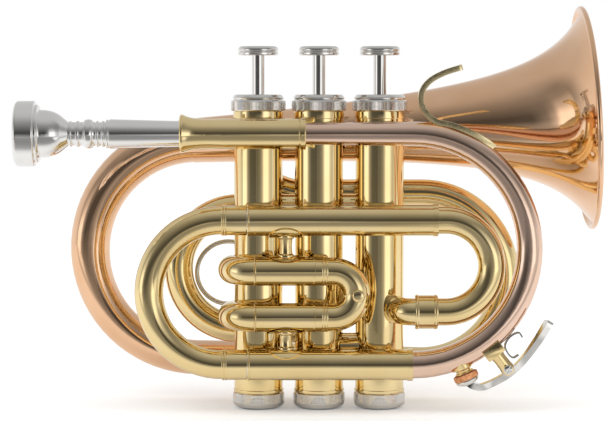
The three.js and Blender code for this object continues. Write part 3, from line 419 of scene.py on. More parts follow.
# Mouthpiece: turned from one bar of brass and silver plated. A broad rim and a round cup run
# into a beaded neck and a long tapered shank, which is pushed into the receiver by hand.
silver = lacquered("silver_plate", (0.92, 0.91, 0.89), (0.87, 0.86, 0.84), 0.04, 0.0)


def bead(at, width, neck, crest, steps=8):
    """A round bead on a neck, as outline points."""
    angles = [math.pi * step / steps for step in range(steps + 1)]
    return [(at - width / 2 * math.cos(angle), neck + (crest - neck) * math.sin(angle)) for angle in angles]


rim_outside = faired([(0.15, 11.0), (0.3, 12.3), (0.75, 13.25), (1.3, 13.7), (2.0, 13.85)], 4)
cup_outside = faired([(11.2, 10.1), (13.6, 9.95), (16.4, 9.3), (18.8, 8.1), (20.8, 6.5), (22.4, 5.15)], 5)
cup_inside = faired([
    (13.2, 1.95), (11.6, 2.6), (9.6, 4.5), (6.8, 6.7), (3.8, 8.0), (1.7, 8.45), (0.7, 8.9), (0.15, 9.9)], 5)
mouthpiece_outline = [
    *cup_inside, *rim_outside,
    (8.2, 13.9), (8.6, 13.75), (8.8, 13.4), (8.8, 12.5), (9.0, 12.3), (9.9, 12.2), (10.2, 11.9),
    (10.35, 10.8), (10.6, 10.3),
    *cup_outside,
    (22.6, 4.95), *bead(23.6, 1.2, 4.95, 5.4), (25.2, 4.95), *bead(26.6, 1.6, 4.95, 5.45),
    (28.2, 4.95), (28.9, 5.1), *bead(31.1, 3.8, 5.2, 6.15), (33.3, 5.1), (33.6, 4.95),
    *bead(34.9, 1.3, 4.95, 5.45), (36.2, 4.95), *bead(37.3, 1.3, 4.95, 5.5), (38.4, 5.0),
    (38.6, 5.9), (39.3, 6.0), (39.5, 5.8), (40.0, 5.8), (40.1, 6.15), (84.4, 5.0),
    (84.4, 3.8), (40.0, 2.3), (13.2, 1.95),
]
mouthpiece_place = (-128, FRONT, leadpipe_height)
mouthpiece = turned("mouthpiece_body_turned", mouthpiece_place, RIGHT, mouthpiece_outline, edge=0.1)
dress(mouthpiece, silver, "silver", "mouthpiece_body", "mouthpiece")

# Finger hook: a strip of brass with a satin finish, bent to a curl for the little finger. Its flat
# foot is soldered along the top of the leadpipe's loop. Its brass is rougher for the satin finish,
# and painted a lighter tone than the yellow brass as painted light.
loop_middle = Vector((leadpipe_start + first_run + second_run, FRONT, leadpipe_height - loop_radius))


def outward(degrees):
    """The heading away from the loop's middle, at an angle from the vertical towards the right."""
    angle = math.radians(degrees)
    return Vector((math.sin(angle), 0, math.cos(angle)))


def on_loop(degrees, reach):
    """A point that lies this far out from the loop's middle."""
    return loop_middle + outward(degrees) * reach


def strip(name, line, widths, thick, edge, twist=0.0):
    """A bent strip of metal, drawn along its middle line. Its widths lie across the drawing, and its
    far end may be twisted a little about the line."""
    tilts = [math.atan2(*(b - a).xz) for a, b in zip(line, line[1:])]
    bpy.ops.object.select_all(action="DESELECT")
    bpy.ops.mesh.primitive_plane_add(size=MM, location=line[0] * MM, rotation=(0, tilts[0], 0))
    piece = bpy.context.object
    piece.name = piece.data.name = name
    piece.scale = (thick, widths[0], 1)
    bpy.ops.object.transform_apply()
    bpy.ops.object.mode_set(mode="EDIT")
    bpy.ops.mesh.select_all(action="SELECT")
    tilt = tilts[0]
    for index, (a, b) in enumerate(zip(line, line[1:])):
        bpy.ops.mesh.extrude_region_move(TRANSFORM_OT_translate={"value": (b - a) * MM})
        onward = tilts[min(index + 1, len(tilts) - 1)]
        turn = math.remainder(onward - tilts[index], math.tau) / 2 + tilts[index] - tilt
        turn = math.remainder(turn, math.tau)
        bpy.ops.transform.rotate(
            value=-turn, orient_axis="Y", orient_type="GLOBAL", center_override=b * MM)
        tilt += turn
        broader = widths[index + 1] / widths[index]
        bpy.ops.transform.resize(value=(1, broader, 1), center_override=b * MM)
        if twist and index > len(line) / 2:
            bpy.ops.transform.rotate(
                value=twist / (len(line) / 2), orient_axis="Z", center_override=b * MM, orient_type="GLOBAL",
                orient_matrix=(b - a).normalized().to_track_quat("Z", "Y").to_matrix())
    bpy.ops.mesh.select_all(action="SELECT")
    bpy.ops.mesh.normals_make_consistent(inside=False)
    bpy.ops.object.mode_set(mode="OBJECT")
    return break_edges(piece, edge, sharp=40, rows=4, weighted=False)


def faired_strip(points, steps):
    """The strip's middle line and widths, faired through points of place and width."""
    line = faired([(*place, width) for place, width in points], steps)
    return [Vector(point[:3]) for point in line], [point[3] for point in line]


foot_reach, hook_thick, hook_edge = 54.7, 2.4, 1.15
foot = [(38, 2.4), (34, 4.6), (28, 6.2), (21, 6.6), (16, 6.0)]
curl = [
    (49.4, 123.3, 5.2), (46.1, 125.6, 5.2), (43.6, 128.9, 5.2), (42.6, 132.9, 5.2), (43.5, 137.1, 5.2),
    (46.8, 140.9, 5.2), (52.4, 143.9, 5.2), (58.6, 145.9, 5.2), (59.9, 146.3, 3.8),
]
hook_points = [(on_loop(degrees, foot_reach), width) for degrees, width in foot]
hook_points += [(Vector((along, FRONT, height)), width) for along, height, width in curl]
hook_line, hook_widths = faired_strip(hook_points, 4)
finger_hook = strip("finger_hook_strip", hook_line, hook_widths, hook_thick, hook_edge)
# Rougher brass for the satin finish. Its lighter tone than the yellow brass is painted light on the hook.
satin_brass_painted_light = lacquered("satin_brass_painted_light", (0.96, 0.80, 0.46), (0.95, 0.79, 0.45), 0.22, 0.2)
dress(finger_hook, satin_brass_painted_light, "yellow_brass", "instrument", "finger_hook")

# Main tuning slide: two fixed outer sleeves, and a bow that slides in them to tune the instrument.
# The bow is bent tube, with a ferrule on each end and a bright inner leg soldered into each ferrule.


def sleeve(name, place, heading, length, radius, bore, rings=(), ring_rise=0.2, ring_width=0.8, end_ring=0.0):
    """A straight sleeve. Raised rings stand along it, and one may close its far end."""
    outline = [(0, bore), (0, radius)]
    for at in rings:
        outline += [(at - ring_width / 2, radius), (at - ring_width / 4, radius + ring_rise),
                    (at + ring_width / 4, radius + ring_rise), (at + ring_width / 2, radius)]
    if end_ring:
        outline += [(length - end_ring, radius), (length - end_ring, radius + ring_rise),
                    (length, radius + ring_rise)]
    else:
        outline.append((length, radius))
    outline += [(length, bore), (0, bore)]
    return turned(name, place, heading, outline, sides=48)


upper_sleeve_height, lower_sleeve_height, main_sleeve_start = 81.9, 20.8, -30.3
main_sleeve_radius, main_bore, bow_wall = 6.55, 5.8, 0.6
for name, height, end in (
    ("main_slide_upper_sleeve", upper_sleeve_height, 50.0),
    ("main_slide_lower_sleeve", lower_sleeve_height, 39.4),
):
    outer = sleeve(name + "_tube", (main_sleeve_start, FRONT, height), RIGHT, end - main_sleeve_start,
                   main_sleeve_radius, main_bore, rings=(0.5,), ring_rise=0.3, ring_width=0.9, end_ring=2.1)
    soldered(outer, name)

nickel = lacquered("nickel", (0.85, 0.83, 0.80), (0.79, 0.77, 0.74), 0.06, 0.0)


def crook(slide, cad_node, mouth, heading, axis, leg, leg_radius, ferrule, ferrule_radius, bend_radius,
          bow_radius, rings=(), run=0.3):
    """A slide's moving part: a bow between two ferrules, with an inner leg in each."""
    mouth = Vector(mouth)
    across = axis.cross(heading) * 2 * bend_radius
    lap, press_fit = 2, 0.05
    drawn = Tubing(slide + "_bow_tube", mouth + heading * (ferrule - lap), heading, bow_radius)
    drawn.straight(run + lap)
    drawn.bend(bend_radius, math.pi, axis)
    drawn.straight(run + lap)
    pieces = [drawn.finish(wall=bow_wall)]
    for end, place in (("first", mouth), ("second", mouth + across)):
        pieces.append(sleeve(f"{slide}_{end}_ferrule", place, heading, ferrule, ferrule_radius,
                             bow_radius - press_fit, rings=rings, ring_rise=0.22, ring_width=0.9))
        pieces.append(sleeve(f"{slide}_{end}_leg", place - heading * leg, heading, leg + ferrule / 2,
                             leg_radius, leg_radius - thin_wall))
    for piece in pieces:
        leg_piece = piece.name.endswith("leg")
        metal, slot = (nickel, "nickel") if leg_piece else (yellow_brass, "yellow_brass")
        dress(piece, metal, slot, slide, cad_node)


main_mouth = (-30.6, FRONT, lower_sleeve_height)
crook("main_slide", "main_slide_bow", main_mouth, LEFT, FAR,
      leg=38, leg_radius=5.5, ferrule=10.5, ferrule_radius=6.4, rings=(8.9, 10.0), run=0.2,
      bend_radius=(upper_sleeve_height - lower_sleeve_height) / 2, bow_radius=6.05)

# Feed crook: a small bend that carries the wind from the upper sleeve back to the valves. A
# ferrule joins it to a short bent pipe, which is soldered into the third casing.


def boolean(piece, other, operation):
    """Joins a piece with another one, or cuts it, and takes the other away."""
    take_up(piece)
    bpy.ops.object.modifier_add(type="BOOLEAN")
    step = piece.modifiers[-1]
    step.operation = operation
    step.solver = "EXACT"
    step.object = other
    bpy.ops.object.modifier_apply(modifier=step.name)
    bpy.data.objects.remove(other)
    return piece


def cut_at(piece, valve, reach=9.9, height=140):
    """Cuts a pipe's end away inside the casing of a valve, so that it fits the round wall."""
    bpy.ops.object.select_all(action="DESELECT")
    bpy.ops.mesh.primitive_cylinder_add(
        vertices=96, radius=reach * MM, depth=height * MM, location=(valve * MM, 0, height / 2 * MM))
    return boolean(piece, bpy.context.object, "DIFFERENCE")


third_valve, middle_valve, first_valve = 26, 0, -26
feed_start, feed_radius, feed_bend, feed_first_run, feed_last_run = 48.2, 5.78, 19.35, 5.1, 7.6
feed_crook = Tubing("feed_crook_tube", (feed_start, FRONT, upper_sleeve_height), RIGHT, feed_radius)
feed_crook.straight(feed_first_run)
feed_crook.bend(feed_bend, math.pi, FAR)
feed_crook.straight(feed_last_run)
soldered(feed_crook.finish(wall=bow_wall), "feed_crook")

feed_low = upper_sleeve_height - 2 * feed_bend
feed_ferrule_start, feed_ferrule_length, feed_ferrule_radius, feed_ferrule_bore = 49.9, 9.6, 7.1, 5.7
feed_ferrule = sleeve("feed_ferrule_tube", (feed_ferrule_start, FRONT, feed_low), LEFT, feed_ferrule_length,
                      feed_ferrule_radius, feed_ferrule_bore, rings=(0.9, 8.7), ring_rise=0.3, ring_width=1.3)
soldered(feed_ferrule, "feed_ferrule")

feed_pipe_start, feed_pipe_run, tight_bend, wide_bend, wide_turn = 45.1, 4.5, 6, 10, 70
feed_pipe = Tubing("feed_pipe_tube", (feed_pipe_start, FRONT, feed_low), LEFT, feed_radius)
feed_pipe.straight(feed_pipe_run)
feed_pipe.bend(tight_bend, -math.pi / 2, UP)
feed_pipe.bend(wide_bend, math.radians(wide_turn), UP)
feed_pipe = cut_at(feed_pipe.finish(wall=bow_wall), third_valve)
soldered(feed_pipe, "feed_pipe")

# Valve casings: three upright brass tubes, joined by short pipes that are called knuckles. A
# collar stands under each top cap and a thin ring above each bottom cap.
casing_outline = [
    (3.5, 9.2), (3.5, 10.0), (7.2, 10.0), (7.2, 10.75), (8.3, 10.75), (8.3, 10.4), (124.6, 10.4),
    (124.6, 10.75), (127.5, 10.75), (127.5, 10.0), (131.5, 10.0), (131.5, 9.2), (3.5, 9.2),
]
valves = ((1, first_valve), (2, middle_valve), (3, third_valve))
for number, along in valves:
    casing = turned(f"valve_casing_{number}_tube", (along, VALVES, 0), UP, casing_outline, sides=96)
    soldered(casing, f"valve_casing_{number}")

knuckle_radius, knuckle_wall, knuckle_inset = 5.9, 0.9, 9
for name, first, second, height in (
    ("knuckle_1_2", first_valve, middle_valve, 59.0),
    ("knuckle_2_3", middle_valve, third_valve, 26.4),
):
    knuckle = Tubing(name + "_tube", (first + knuckle_inset, VALVES, height), RIGHT, knuckle_radius)
    knuckle.straight(second - first - 2 * knuckle_inset)
    knuckle = cut_at(cut_at(knuckle.finish(wall=knuckle_wall), first), second)
    soldered(knuckle, name)

# Caps: nickel plated brass, turned and knurled so that fingers can unscrew them. The top cap has a
# hole for the stem, and the bottom cap closes the casing under its spring.


def knurl(piece, low, high, outside, depth):
    """Raises rows of small pyramids on the band of a cap."""
    take_up(piece)
    bpy.ops.object.mode_set(mode="EDIT")
    bpy.ops.mesh.select_mode(type="FACE")
    bpy.ops.mesh.select_all(action="DESELECT")
    bpy.ops.object.mode_set(mode="OBJECT")
    for face in piece.data.polygons:
        x, y, z = face.center / MM
        face.select = low < z < high and math.hypot(x, y) > outside and abs(face.normal.z) < 0.1
    bpy.ops.object.mode_set(mode="EDIT")
    bpy.ops.mesh.poke(offset=depth * MM, use_relative_offset=False)
    bpy.ops.mesh.select_mode(type="VERT")
    bpy.ops.object.mode_set(mode="OBJECT")
    return smoothed(piece, 25, weighted=False)


def copied(piece, name, offset):
    """Another of a repeated piece, with a mesh of its own, moved to its place."""
    take_up(piece)
    bpy.ops.object.duplicate()
    other = bpy.context.object
    other.name = other.data.name = name
    other.location = Vector(offset) * MM
    bpy.ops.object.transform_apply()
    return other


def at_each_valve(pattern, metal, slot, moves, *cad_stems):
    """Sets a piece made on the origin's axis at each of the three valves."""
    placed = []
    for number, along in valves:
        piece = copied(pattern, f"{pattern.name}_{number}", (along, VALVES, 0))
        body = f"valve_{number}" if moves else "instrument"
        dress(piece, metal, slot, body, *(f"{stem}_{number}" for stem in cad_stems))
        placed.append(piece)
    bpy.data.objects.remove(pattern)
    return placed


origin = (0, 0, 0)
cap_sides, cap_edge, knurl_rows, knurl_depth = 120, 0.08, range(1, 8), 0.13
top_cap_outline = [
    (127.8, 10.15), (127.8, 11.3), (128.1, 11.65), *((128.1 + row * 0.54, 11.65) for row in knurl_rows),
    (132.2, 11.3), (132.25, 10.8), (132.8, 10.75), (133.3, 10.95), (133.9, 10.6), (134.5, 10.15),
    (134.7, 9.7), (134.7, 5.0), (134.5, 4.6), (134.5, 3.05), (131.8, 3.05), (131.8, 10.15), (127.8, 10.15),
]
top_cap = turned("top_cap_turned", origin, UP, top_cap_outline, sides=cap_sides, edge=cap_edge)
top_cap = knurl(top_cap, low=128.2, high=131.9, outside=11.3, depth=knurl_depth)
at_each_valve(top_cap, nickel, "nickel", False, "top_cap")

bottom_cap_outline = [
    (0, 0.6), (0, 7.9), (0.25, 8.4), (0.7, 9.6), (1.2, 10.35), (1.7, 10.75), (2.3, 10.95), (2.6, 11.0),
    *((2.6 + row * 0.57, 11.0) for row in knurl_rows), (6.9, 10.6), (6.9, 10.15), (3.2, 10.15), (3.2, 0.6),
]
bottom_cap = turned("bottom_cap_turned", origin, UP, bottom_cap_outline, cap_sides, True, cap_edge)
bottom_cap = knurl(bottom_cap, low=2.7, high=6.5, outside=10.8, depth=knurl_depth)
at_each_valve(bottom_cap, nickel, "nickel", False, "bottom_cap")

# Pistons, stems, buttons, felts and springs: each piston slides in its casing on a coiled wire
# spring. The stem is screwed into it and carries the finger button; a felt washer silences it.


def coat_each(stem, material):
    """Gives the solid that stands at each valve its material."""
    for number, _ in valves:
        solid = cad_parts[f"{stem}_{number}"]
        solid.data.materials.clear()
        solid.data.materials.append(material)


coat_each("piston", nickel)
stem_outline = [(128.9, 0.6), (128.9, 2.75), (151.5, 2.75), (151.5, 0.6)]
stem = turned("valve_stem_turned", origin, UP, stem_outline, sides=48, solid=True, edge=0.1)
at_each_valve(stem, nickel, "nickel", True, "valve_stem")

dish = faired([(153.5, 0.5), (153.6, 2.5), (154.0, 4.9), (154.75, 6.9)], 4)
button_outline = [
    (151.3, 0.6), (151.3, 6.6), (151.4, 8.2), (151.7, 8.6), (152.5, 8.65), (152.75, 8.45), (152.9, 8.05),
    (153.05, 8.05), (153.25, 8.45), (153.7, 8.6), (154.3, 8.5), (154.85, 8.15), (155.2, 7.6), (155.3, 7.25),
    (155.1, 7.05), *reversed(dish),
]
button = turned("finger_button_turned", origin, UP, button_outline, sides=72, solid=True, edge=0.06)
at_each_valve(button, nickel, "nickel", True, "finger_button")


def matt(name, light, dark, roughness, scale, depth):
    """A matt material with a fine grain: two close tones, and a rough surface."""
    stuff = bpy.data.materials.new(name)
    stuff.use_nodes = True
    tree = stuff.node_tree
    tree.nodes["Principled BSDF"].inputs["Roughness"].default_value = roughness
    grain = noise(tree, scale, 6)
    toned(tree, grain, dark, light, 0.38, 0.62)
    embossed(tree, grain, depth, 1)
    return stuff


felt = matt("felt", (0.80, 0.78, 0.74), (0.66, 0.64, 0.60), 0.95, 1600, 0.0002)
coat_each("felt_washer", felt)

spring_steel = lacquered("spring_steel", (0.55, 0.54, 0.52), (0.42, 0.41, 0.40), 0.22, 0.0)
spring_foot, spring_top, spring_radius, spring_wire, spring_turns = 4.0, 29.2, 6.8, 0.5, 5
valve_travel, steps_each_turn = 16, 40
bpy.ops.object.select_all(action="DESELECT")
bpy.ops.mesh.primitive_circle_add(
    vertices=12, radius=spring_wire * MM, location=(spring_radius * MM, 0, spring_foot * MM),
    rotation=(math.pi / 2, 0, 0))
bpy.ops.object.transform_apply()
spring = bpy.context.object
spring.name = spring.data.name = "valve_spring_coiled"
bpy.ops.object.modifier_add(type="SCREW")
coil = spring.modifiers[-1]
coil.axis = "Z"
coil.angle = math.tau * spring_turns
coil.screw_offset = (spring_top - spring_foot) * MM
coil.steps = coil.render_steps = steps_each_turn * spring_turns
coil.use_smooth_shade = True
bpy.ops.object.modifier_apply(modifier=coil.name)
bpy.ops.object.mode_set(mode="EDIT")
bpy.ops.mesh.select_all(action="SELECT")
bpy.ops.mesh.fill_holes(sides=0)
bpy.ops.mesh.select_all(action="SELECT")
bpy.ops.mesh.normals_make_consistent(inside=False)
bpy.ops.object.mode_set(mode="OBJECT")
bpy.ops.object.shade_smooth_by_angle(angle=math.radians(38))
springs = at_each_valve(spring, spring_steel, "spring_steel", False, "valve_spring")
for piece, (number, along) in zip(springs, valves):
    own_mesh(piece)

# First valve slide: two tubes turn round the outside of the first casing, into its far side. A
# short crook slides in their front ends, and is pulled out by a small turned knob.
first_upper_height, first_lower_height, first_sleeve_start, first_sleeve_length = 60.4, 40.9, -27.5, 25.8
sleeve_radius, sleeve_bore, leg_radius, crook_radius = 6.1, 5.35, 5.2, 5.85
elbow_start, elbow_radius, elbow_bend = -25, 6.0, 9.5
for place, height in (("upper", first_upper_height), ("lower", first_lower_height)):
    outer = sleeve(f"first_slide_{place}_sleeve", (first_sleeve_start, FRONT, height), RIGHT,
                   first_sleeve_length, sleeve_radius, sleeve_bore,
                   rings=(0.5,), ring_rise=0.3, ring_width=0.9, end_ring=0.9)
    elbow = Tubing(f"first_slide_{place}_elbow", (elbow_start, FRONT, height), LEFT, elbow_radius)
    elbow.straight(elbow_start - first_sleeve_start)
    elbow.bend(elbow_bend, -math.pi, UP)
    elbow = cut_at(elbow.finish(wall=thin_wall), first_valve)
    for piece in (outer, elbow):
        soldered(piece, f"first_slide_{place}_tube")

first_bend = (first_upper_height - first_lower_height) / 2
first_mouth = (-1.7, FRONT, first_upper_height)
crook("first_slide", "first_slide_crook", first_mouth, RIGHT, FAR,
      leg=24, leg_radius=leg_radius, ferrule=5.5, ferrule_radius=6.0, rings=(3.4, 4.7), run=2.2,
      bend_radius=first_bend, bow_radius=crook_radius)

knob_outline = [
    (0, 0.4), (0, 1.5), (1.0, 1.4), (1.4, 2.1), (1.7, 2.5), (2.3, 2.65), (2.8, 2.4), (3.1, 1.8), (3.2, 0.4)]
knob_place = (16.35, -24.5, first_upper_height - first_bend)
knob = turned("first_slide_knob", knob_place, NEAR, knob_outline, sides=40, solid=True, edge=0.08)
dress(knob, yellow_brass, "yellow_brass", "first_slide", "first_slide_crook")

# Second valve slide: two short tubes stand straight out of the back of the middle casing, with a
# small crook in their ends.
second_upper_height, second_lower_height, short_start, short_length = 72, 54, 8.0, 14
for place, height in (("upper", second_upper_height), ("lower", second_lower_height)):
    cad_node = f"second_slide_{place}_tube"
    short = sleeve(cad_node + "_sleeve", (middle_valve, short_start, height), FAR, short_length,
                   sleeve_radius, sleeve_bore, end_ring=1.0)
    soldered(cut_at(short, middle_valve), cad_node)

second_mouth = (middle_valve, short_start + short_length, second_upper_height)
crook("second_slide", "second_slide_crook", second_mouth, FAR, LEFT,
      leg=9, leg_radius=leg_radius, ferrule=3, ferrule_radius=6.0,
      bend_radius=(second_upper_height - second_lower_height) / 2, bow_radius=crook_radius)

# Third valve slide: two long tubes run behind the valves into the third casing. The large bow that
# slides in them holds a round nickel ring, soldered inside it, by which a finger pulls it out.
third_plane, third_upper_height, third_lower_height = 17.5, 85.0, 32.4
third_start, third_run, third_radius, third_turn_start = -31.1, 26.1, 6.4, 18
rise_bend, entry_bend, entry_run = 9, 8, 1
for place, height, rise in (("upper", third_upper_height, 0), ("lower", third_lower_height, 65.7)):
    pipe = Tubing(f"third_slide_{place}_pipe", (third_start, third_plane, height), RIGHT, third_radius)
    pipe.straight(third_run)
    if rise:
        pipe.bend(rise_bend, -math.radians(rise), FAR)
        pipe.bend(rise_bend, math.radians(rise), FAR)
    pipe.straight(third_turn_start - pipe.end.x)
    pipe.bend(entry_bend, -math.pi / 2, UP)
    pipe.straight(entry_run)
    pipe = cut_at(pipe.finish(wall=bow_wall), third_valve)
    soldered(pipe, f"third_slide_{place}_tube")

third_mouth = (-31.4, third_plane, third_lower_height)
crook("third_slide", "third_slide_bow", third_mouth, LEFT, FAR,
      leg=25, leg_radius=5.5, ferrule=3.2, ferrule_radius=6.4,
      bend_radius=(third_upper_height - third_lower_height) / 2, bow_radius=6.25)

ring_low, ring_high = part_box("third_slide_ring")
ring_wire = (ring_high.y - ring_low.y) / 2
bpy.ops.object.select_all(action="DESELECT")
bpy.ops.mesh.primitive_torus_add(
    location=(ring_low + ring_high) / 2, rotation=(math.pi / 2, 0, 0), major_segments=96, minor_segments=20,
    major_radius=(ring_high.x - ring_low.x) / 2 - ring_wire, minor_radius=ring_wire)
bpy.ops.object.transform_apply()
finger_ring = bpy.context.object
finger_ring.name = finger_ring.data.name = "third_slide_ring_wire"
dress(break_edges(finger_ring, 0), nickel, "nickel", "third_slide", "third_slide_ring")

# Bell tail: brass tube, coned by drawing. It leaves the back of the first casing, passes behind
# the valves, turns down round the right-hand loop and runs back to a wide ferrule.
dip = math.radians(20)
dip_heading = Vector((math.cos(dip), 0, -math.sin(dip)))
tail_place, tail_first_run, tail_radius = (-30, 6, 98), 8, 5.8
corner_bend, dip_bend, tail_loop_bend, tail_loop_turn = 16, 20, 37.5, 181
tail_loop_start, tail_stop, tail_loop_radius, tail_end_radius = 45.5, -21.3, 6.2, 7.2
tail = Tubing("bell_tail_tube", tail_place, FAR, tail_radius)
tail.straight(tail_first_run)
tail.bend(corner_bend, math.pi / 2, FAR.cross(dip_heading))
tail.bend(dip_bend, -dip, FAR)
tail.straight(tail_loop_start - tail.end.x)
tail.bend(tail_loop_bend, math.radians(tail_loop_turn), FAR, tail_loop_radius)
tail.straight((tail_stop - tail.end.x) / tail.heading.x, tail_end_radius)
tail_end, tail_heading = tail.end.copy(), tail.heading.copy()
tail = cut_at(tail.finish(wall=bow_wall), first_valve)
soldered(tail, "bell_tail")

ferrule_outline = [
    (0, 6.9), (0, 8.2), (0.5, 8.9), (1.8, 8.9), (2.1, 8.5), (3.2, 8.35), (8.8, 8.55), (9.9, 8.7),
    (10.2, 9.0), (11.5, 9.0), (12, 8.4), (12, 7.3), (0, 6.9),
]
ferrule_place = tail_end - tail_heading * ferrule_outline[-2][0] / 2
bow_ferrule = turned("bell_bow_ferrule_turned", ferrule_place, tail_heading, ferrule_outline)
soldered(bow_ferrule, "bell_bow_ferrule")

# Bell bow: the large coned bend of rose brass at the left, behind everything else. Its narrow end
# is soldered into the tail's ferrule, and its wide end meets the bell.
seam, bow_radius, bow_end_radius, bow_turn_start = 0.3, 7.6, 9.6, -53.8
bow_bend, bow_turn, bow_lap = 48.1, 175.7, 1.5
bell_bow = Tubing("bell_bow_tube", tail_end + tail_heading * seam, tail_heading, bow_radius)
bell_bow.straight((bow_turn_start - bell_bow.end.x) / bell_bow.heading.x)
bell_bow.bend(bow_bend, math.radians(bow_turn), FAR, bow_end_radius)
bell_bow.straight(bow_lap)
bow_end, bell_heading = bell_bow.end - bell_bow.heading * bow_lap, bell_bow.heading.copy()
dress(bell_bow.finish(wall=thin_wall), rose_brass, "rose_brass", "instrument", "bell_bow")

# Bell: a rose brass flare, spun thin on a mandrel and soldered to the bow. Its rim is rolled back
# over a wire.
bell_length, rim_radius, flare_offset, flare_power, bell_wall = 174.4, 47.7, 17.5, 0.66, 0.6
bead_radius, bell_rings = 1.25, 60


def flare(back):
    """The bell's radius at a distance behind its rim, and how steeply it opens there."""
    radius = rim_radius * (flare_offset / (back + flare_offset)) ** flare_power
    return radius, flare_power * radius / (back + flare_offset)


spread = math.log((bell_length + flare_offset) / flare_offset)
backs = [flare_offset * (math.exp(spread * ring / bell_rings) - 1) for ring in range(bell_rings, -1, -1)]
outside, inside = [], []
for back in backs:
    radius, slope = flare(back)
    lean = math.hypot(1, slope)
    outside.append((bell_length - back, radius))
    inside.append((bell_length - back + bell_wall * slope / lean, radius - bell_wall / lean))
bead_back, bead_rise = 0.75, 0.35
bead_middle = (bell_length - bead_back, rim_radius + bead_rise)
bead_angles = [math.radians(angle) for angle in range(205, -61, -15)]
rolled = [(bead_middle[0] + bead_radius * math.cos(angle), bead_middle[1] + bead_radius * math.sin(angle))
          for angle in bead_angles]
bell_outline = [*outside[:-1], *rolled, *reversed(inside[:-1]), outside[0]]
bell = turned("bell_flare", bow_end + bell_heading * seam, bell_heading, bell_outline, sides=128, edge=0)
dress(bell, rose_brass, "rose_brass", "instrument", "bell")

# Braces: turned brass spools between the slide's sleeves and the first slide's tubes. Each end has
# a thin saddle, hammered round its tube and soldered. A short post also holds the bell.
brace_place, brace_rim_radius, brace_neck_radius, brace_waist_radius, brace_bore = -14, 3.5, 2.7, 2.45, 0.5
saddle_half, saddle_length, saddle_thick, saddle_edge = 6.9, 20, 0.75, 0.32
wide_overlap, narrow_overlap, saddle_bite, cutter_depth = 3.2, 1.5, 0.1, 30


def saddle_plate(name, height, tube_radius, post_side, overlap):
    """A thin plate, hammered round a tube. Seen from the front, it overlaps the tube in a flat arc."""
    shell = sleeve(name, (brace_place - saddle_length / 2, FRONT, height), RIGHT, saddle_length,
                   tube_radius + saddle_thick, tube_radius - saddle_bite)
    arc_radius = (saddle_half ** 2 + overlap ** 2) / (2 * overlap)
    middle = height + post_side * (tube_radius - overlap + arc_radius)
    bpy.ops.object.select_all(action="DESELECT")
    bpy.ops.mesh.primitive_cylinder_add(
        vertices=160, radius=arc_radius * MM, depth=cutter_depth * MM, rotation=(math.pi / 2, 0, 0),
        location=Vector((brace_place, FRONT, middle)) * MM)
    return break_edges(boolean(shell, bpy.context.object, "INTERSECT"), saddle_edge, sharp=50, rows=3)


for name, top, top_radius, top_overlap, low, low_radius, low_overlap in (
    ("upper_brace", upper_sleeve_height, main_sleeve_radius, wide_overlap,
     first_upper_height, sleeve_radius, narrow_overlap),
    ("lower_brace", first_lower_height, sleeve_radius, narrow_overlap,
     lower_sleeve_height, main_sleeve_radius, wide_overlap),
):
    foot, head = low + low_radius, top - top_radius
    rise = head - foot
    half_post = [(-0.3, brace_bore), (-0.3, brace_rim_radius), (0.9, 3.4), (1.3, brace_neck_radius)]
    post_outline = [*half_post, (rise / 2, brace_waist_radius),
                    *((rise - along, radius) for along, radius in reversed(half_post))]
    pieces = [
        turned(name + "_post", (brace_place, FRONT, foot), UP, post_outline, sides=48, solid=True),
        saddle_plate(name + "_upper_saddle", top, top_radius, -1, top_overlap),
        saddle_plate(name + "_lower_saddle", low, low_radius, 1, low_overlap),
    ]
    for piece in pieces:
        soldered(piece, name)

bell_post_outline = [
    (0, 0.5), (0, 4.4), (1.1, 4.2), (1.6, 3.0), (3.9, 2.3), (6.2, 3.0), (6.7, 4.2), (7.7, 4.4), (7.7, 0.5)]
bell_post_place = (middle_valve, 10.0, 117.4)
bell_post = turned("bell_brace_post", bell_post_place, FAR, bell_post_outline, sides=48, solid=True)
soldered(bell_post, "bell_brace")

# Water key: it lets water out at the bottom of the loop. A steel spring holds the cork of its
# lever against a brass nipple. The lever turns on a screw between two cheeks of a brass saddle.
core_start, core_turn, core_radius = 120, 55, 5.4
loop_core = Tubing("leadpipe_core", on_loop(core_start, loop_radius), outward(core_start + 90), core_radius,
                   solid=True)
loop_core.bend(loop_radius, math.radians(core_turn), FAR)
loop_core = loop_core.finish(edge=0)
nipple_angle, nipple_reach, cork_reach, cup_reach = 157.6, 51.75, 56.85, 59.2


def without_core(piece):
    """Cuts away what would stand inside the leadpipe."""
    return boolean(piece, copied(loop_core, "leadpipe_core_cutter", origin), "DIFFERENCE")


def at_nipple(name, reach, outline, **settings):
    """A turned piece on the nipple's axis."""
    place = on_loop(nipple_angle, reach)
    return turned(name, place, outward(nipple_angle), outline, sides=48, **settings)


nipple_outline = [
    (0, 2.0), (0, 4.8), (2.6, 4.6), (3.1, 3.4), (3.9, 3.2), (4.2, 3.9), (4.6, 4.0), (4.8, 3.7), (4.8, 2.0),
    (0, 2.0)]
nipple = at_nipple("water_key_nipple_turned", nipple_reach, nipple_outline)
soldered(without_core(nipple), "water_key_nipple")

cork_material = matt("cork", (0.78, 0.36, 0.16), (0.46, 0.17, 0.06), 0.8, 520, 0.00015)
cork_outline = [(0, 0.5), (0, 5.0), (0.25, 5.3), (2.0, 5.3), (2.3, 5.1), (2.3, 0.5)]
cork = at_nipple("water_key_cork_pad", cork_reach, cork_outline, solid=True, edge=0)
dress(cork, cork_material, "cork", "water_key", "water_key_cork")

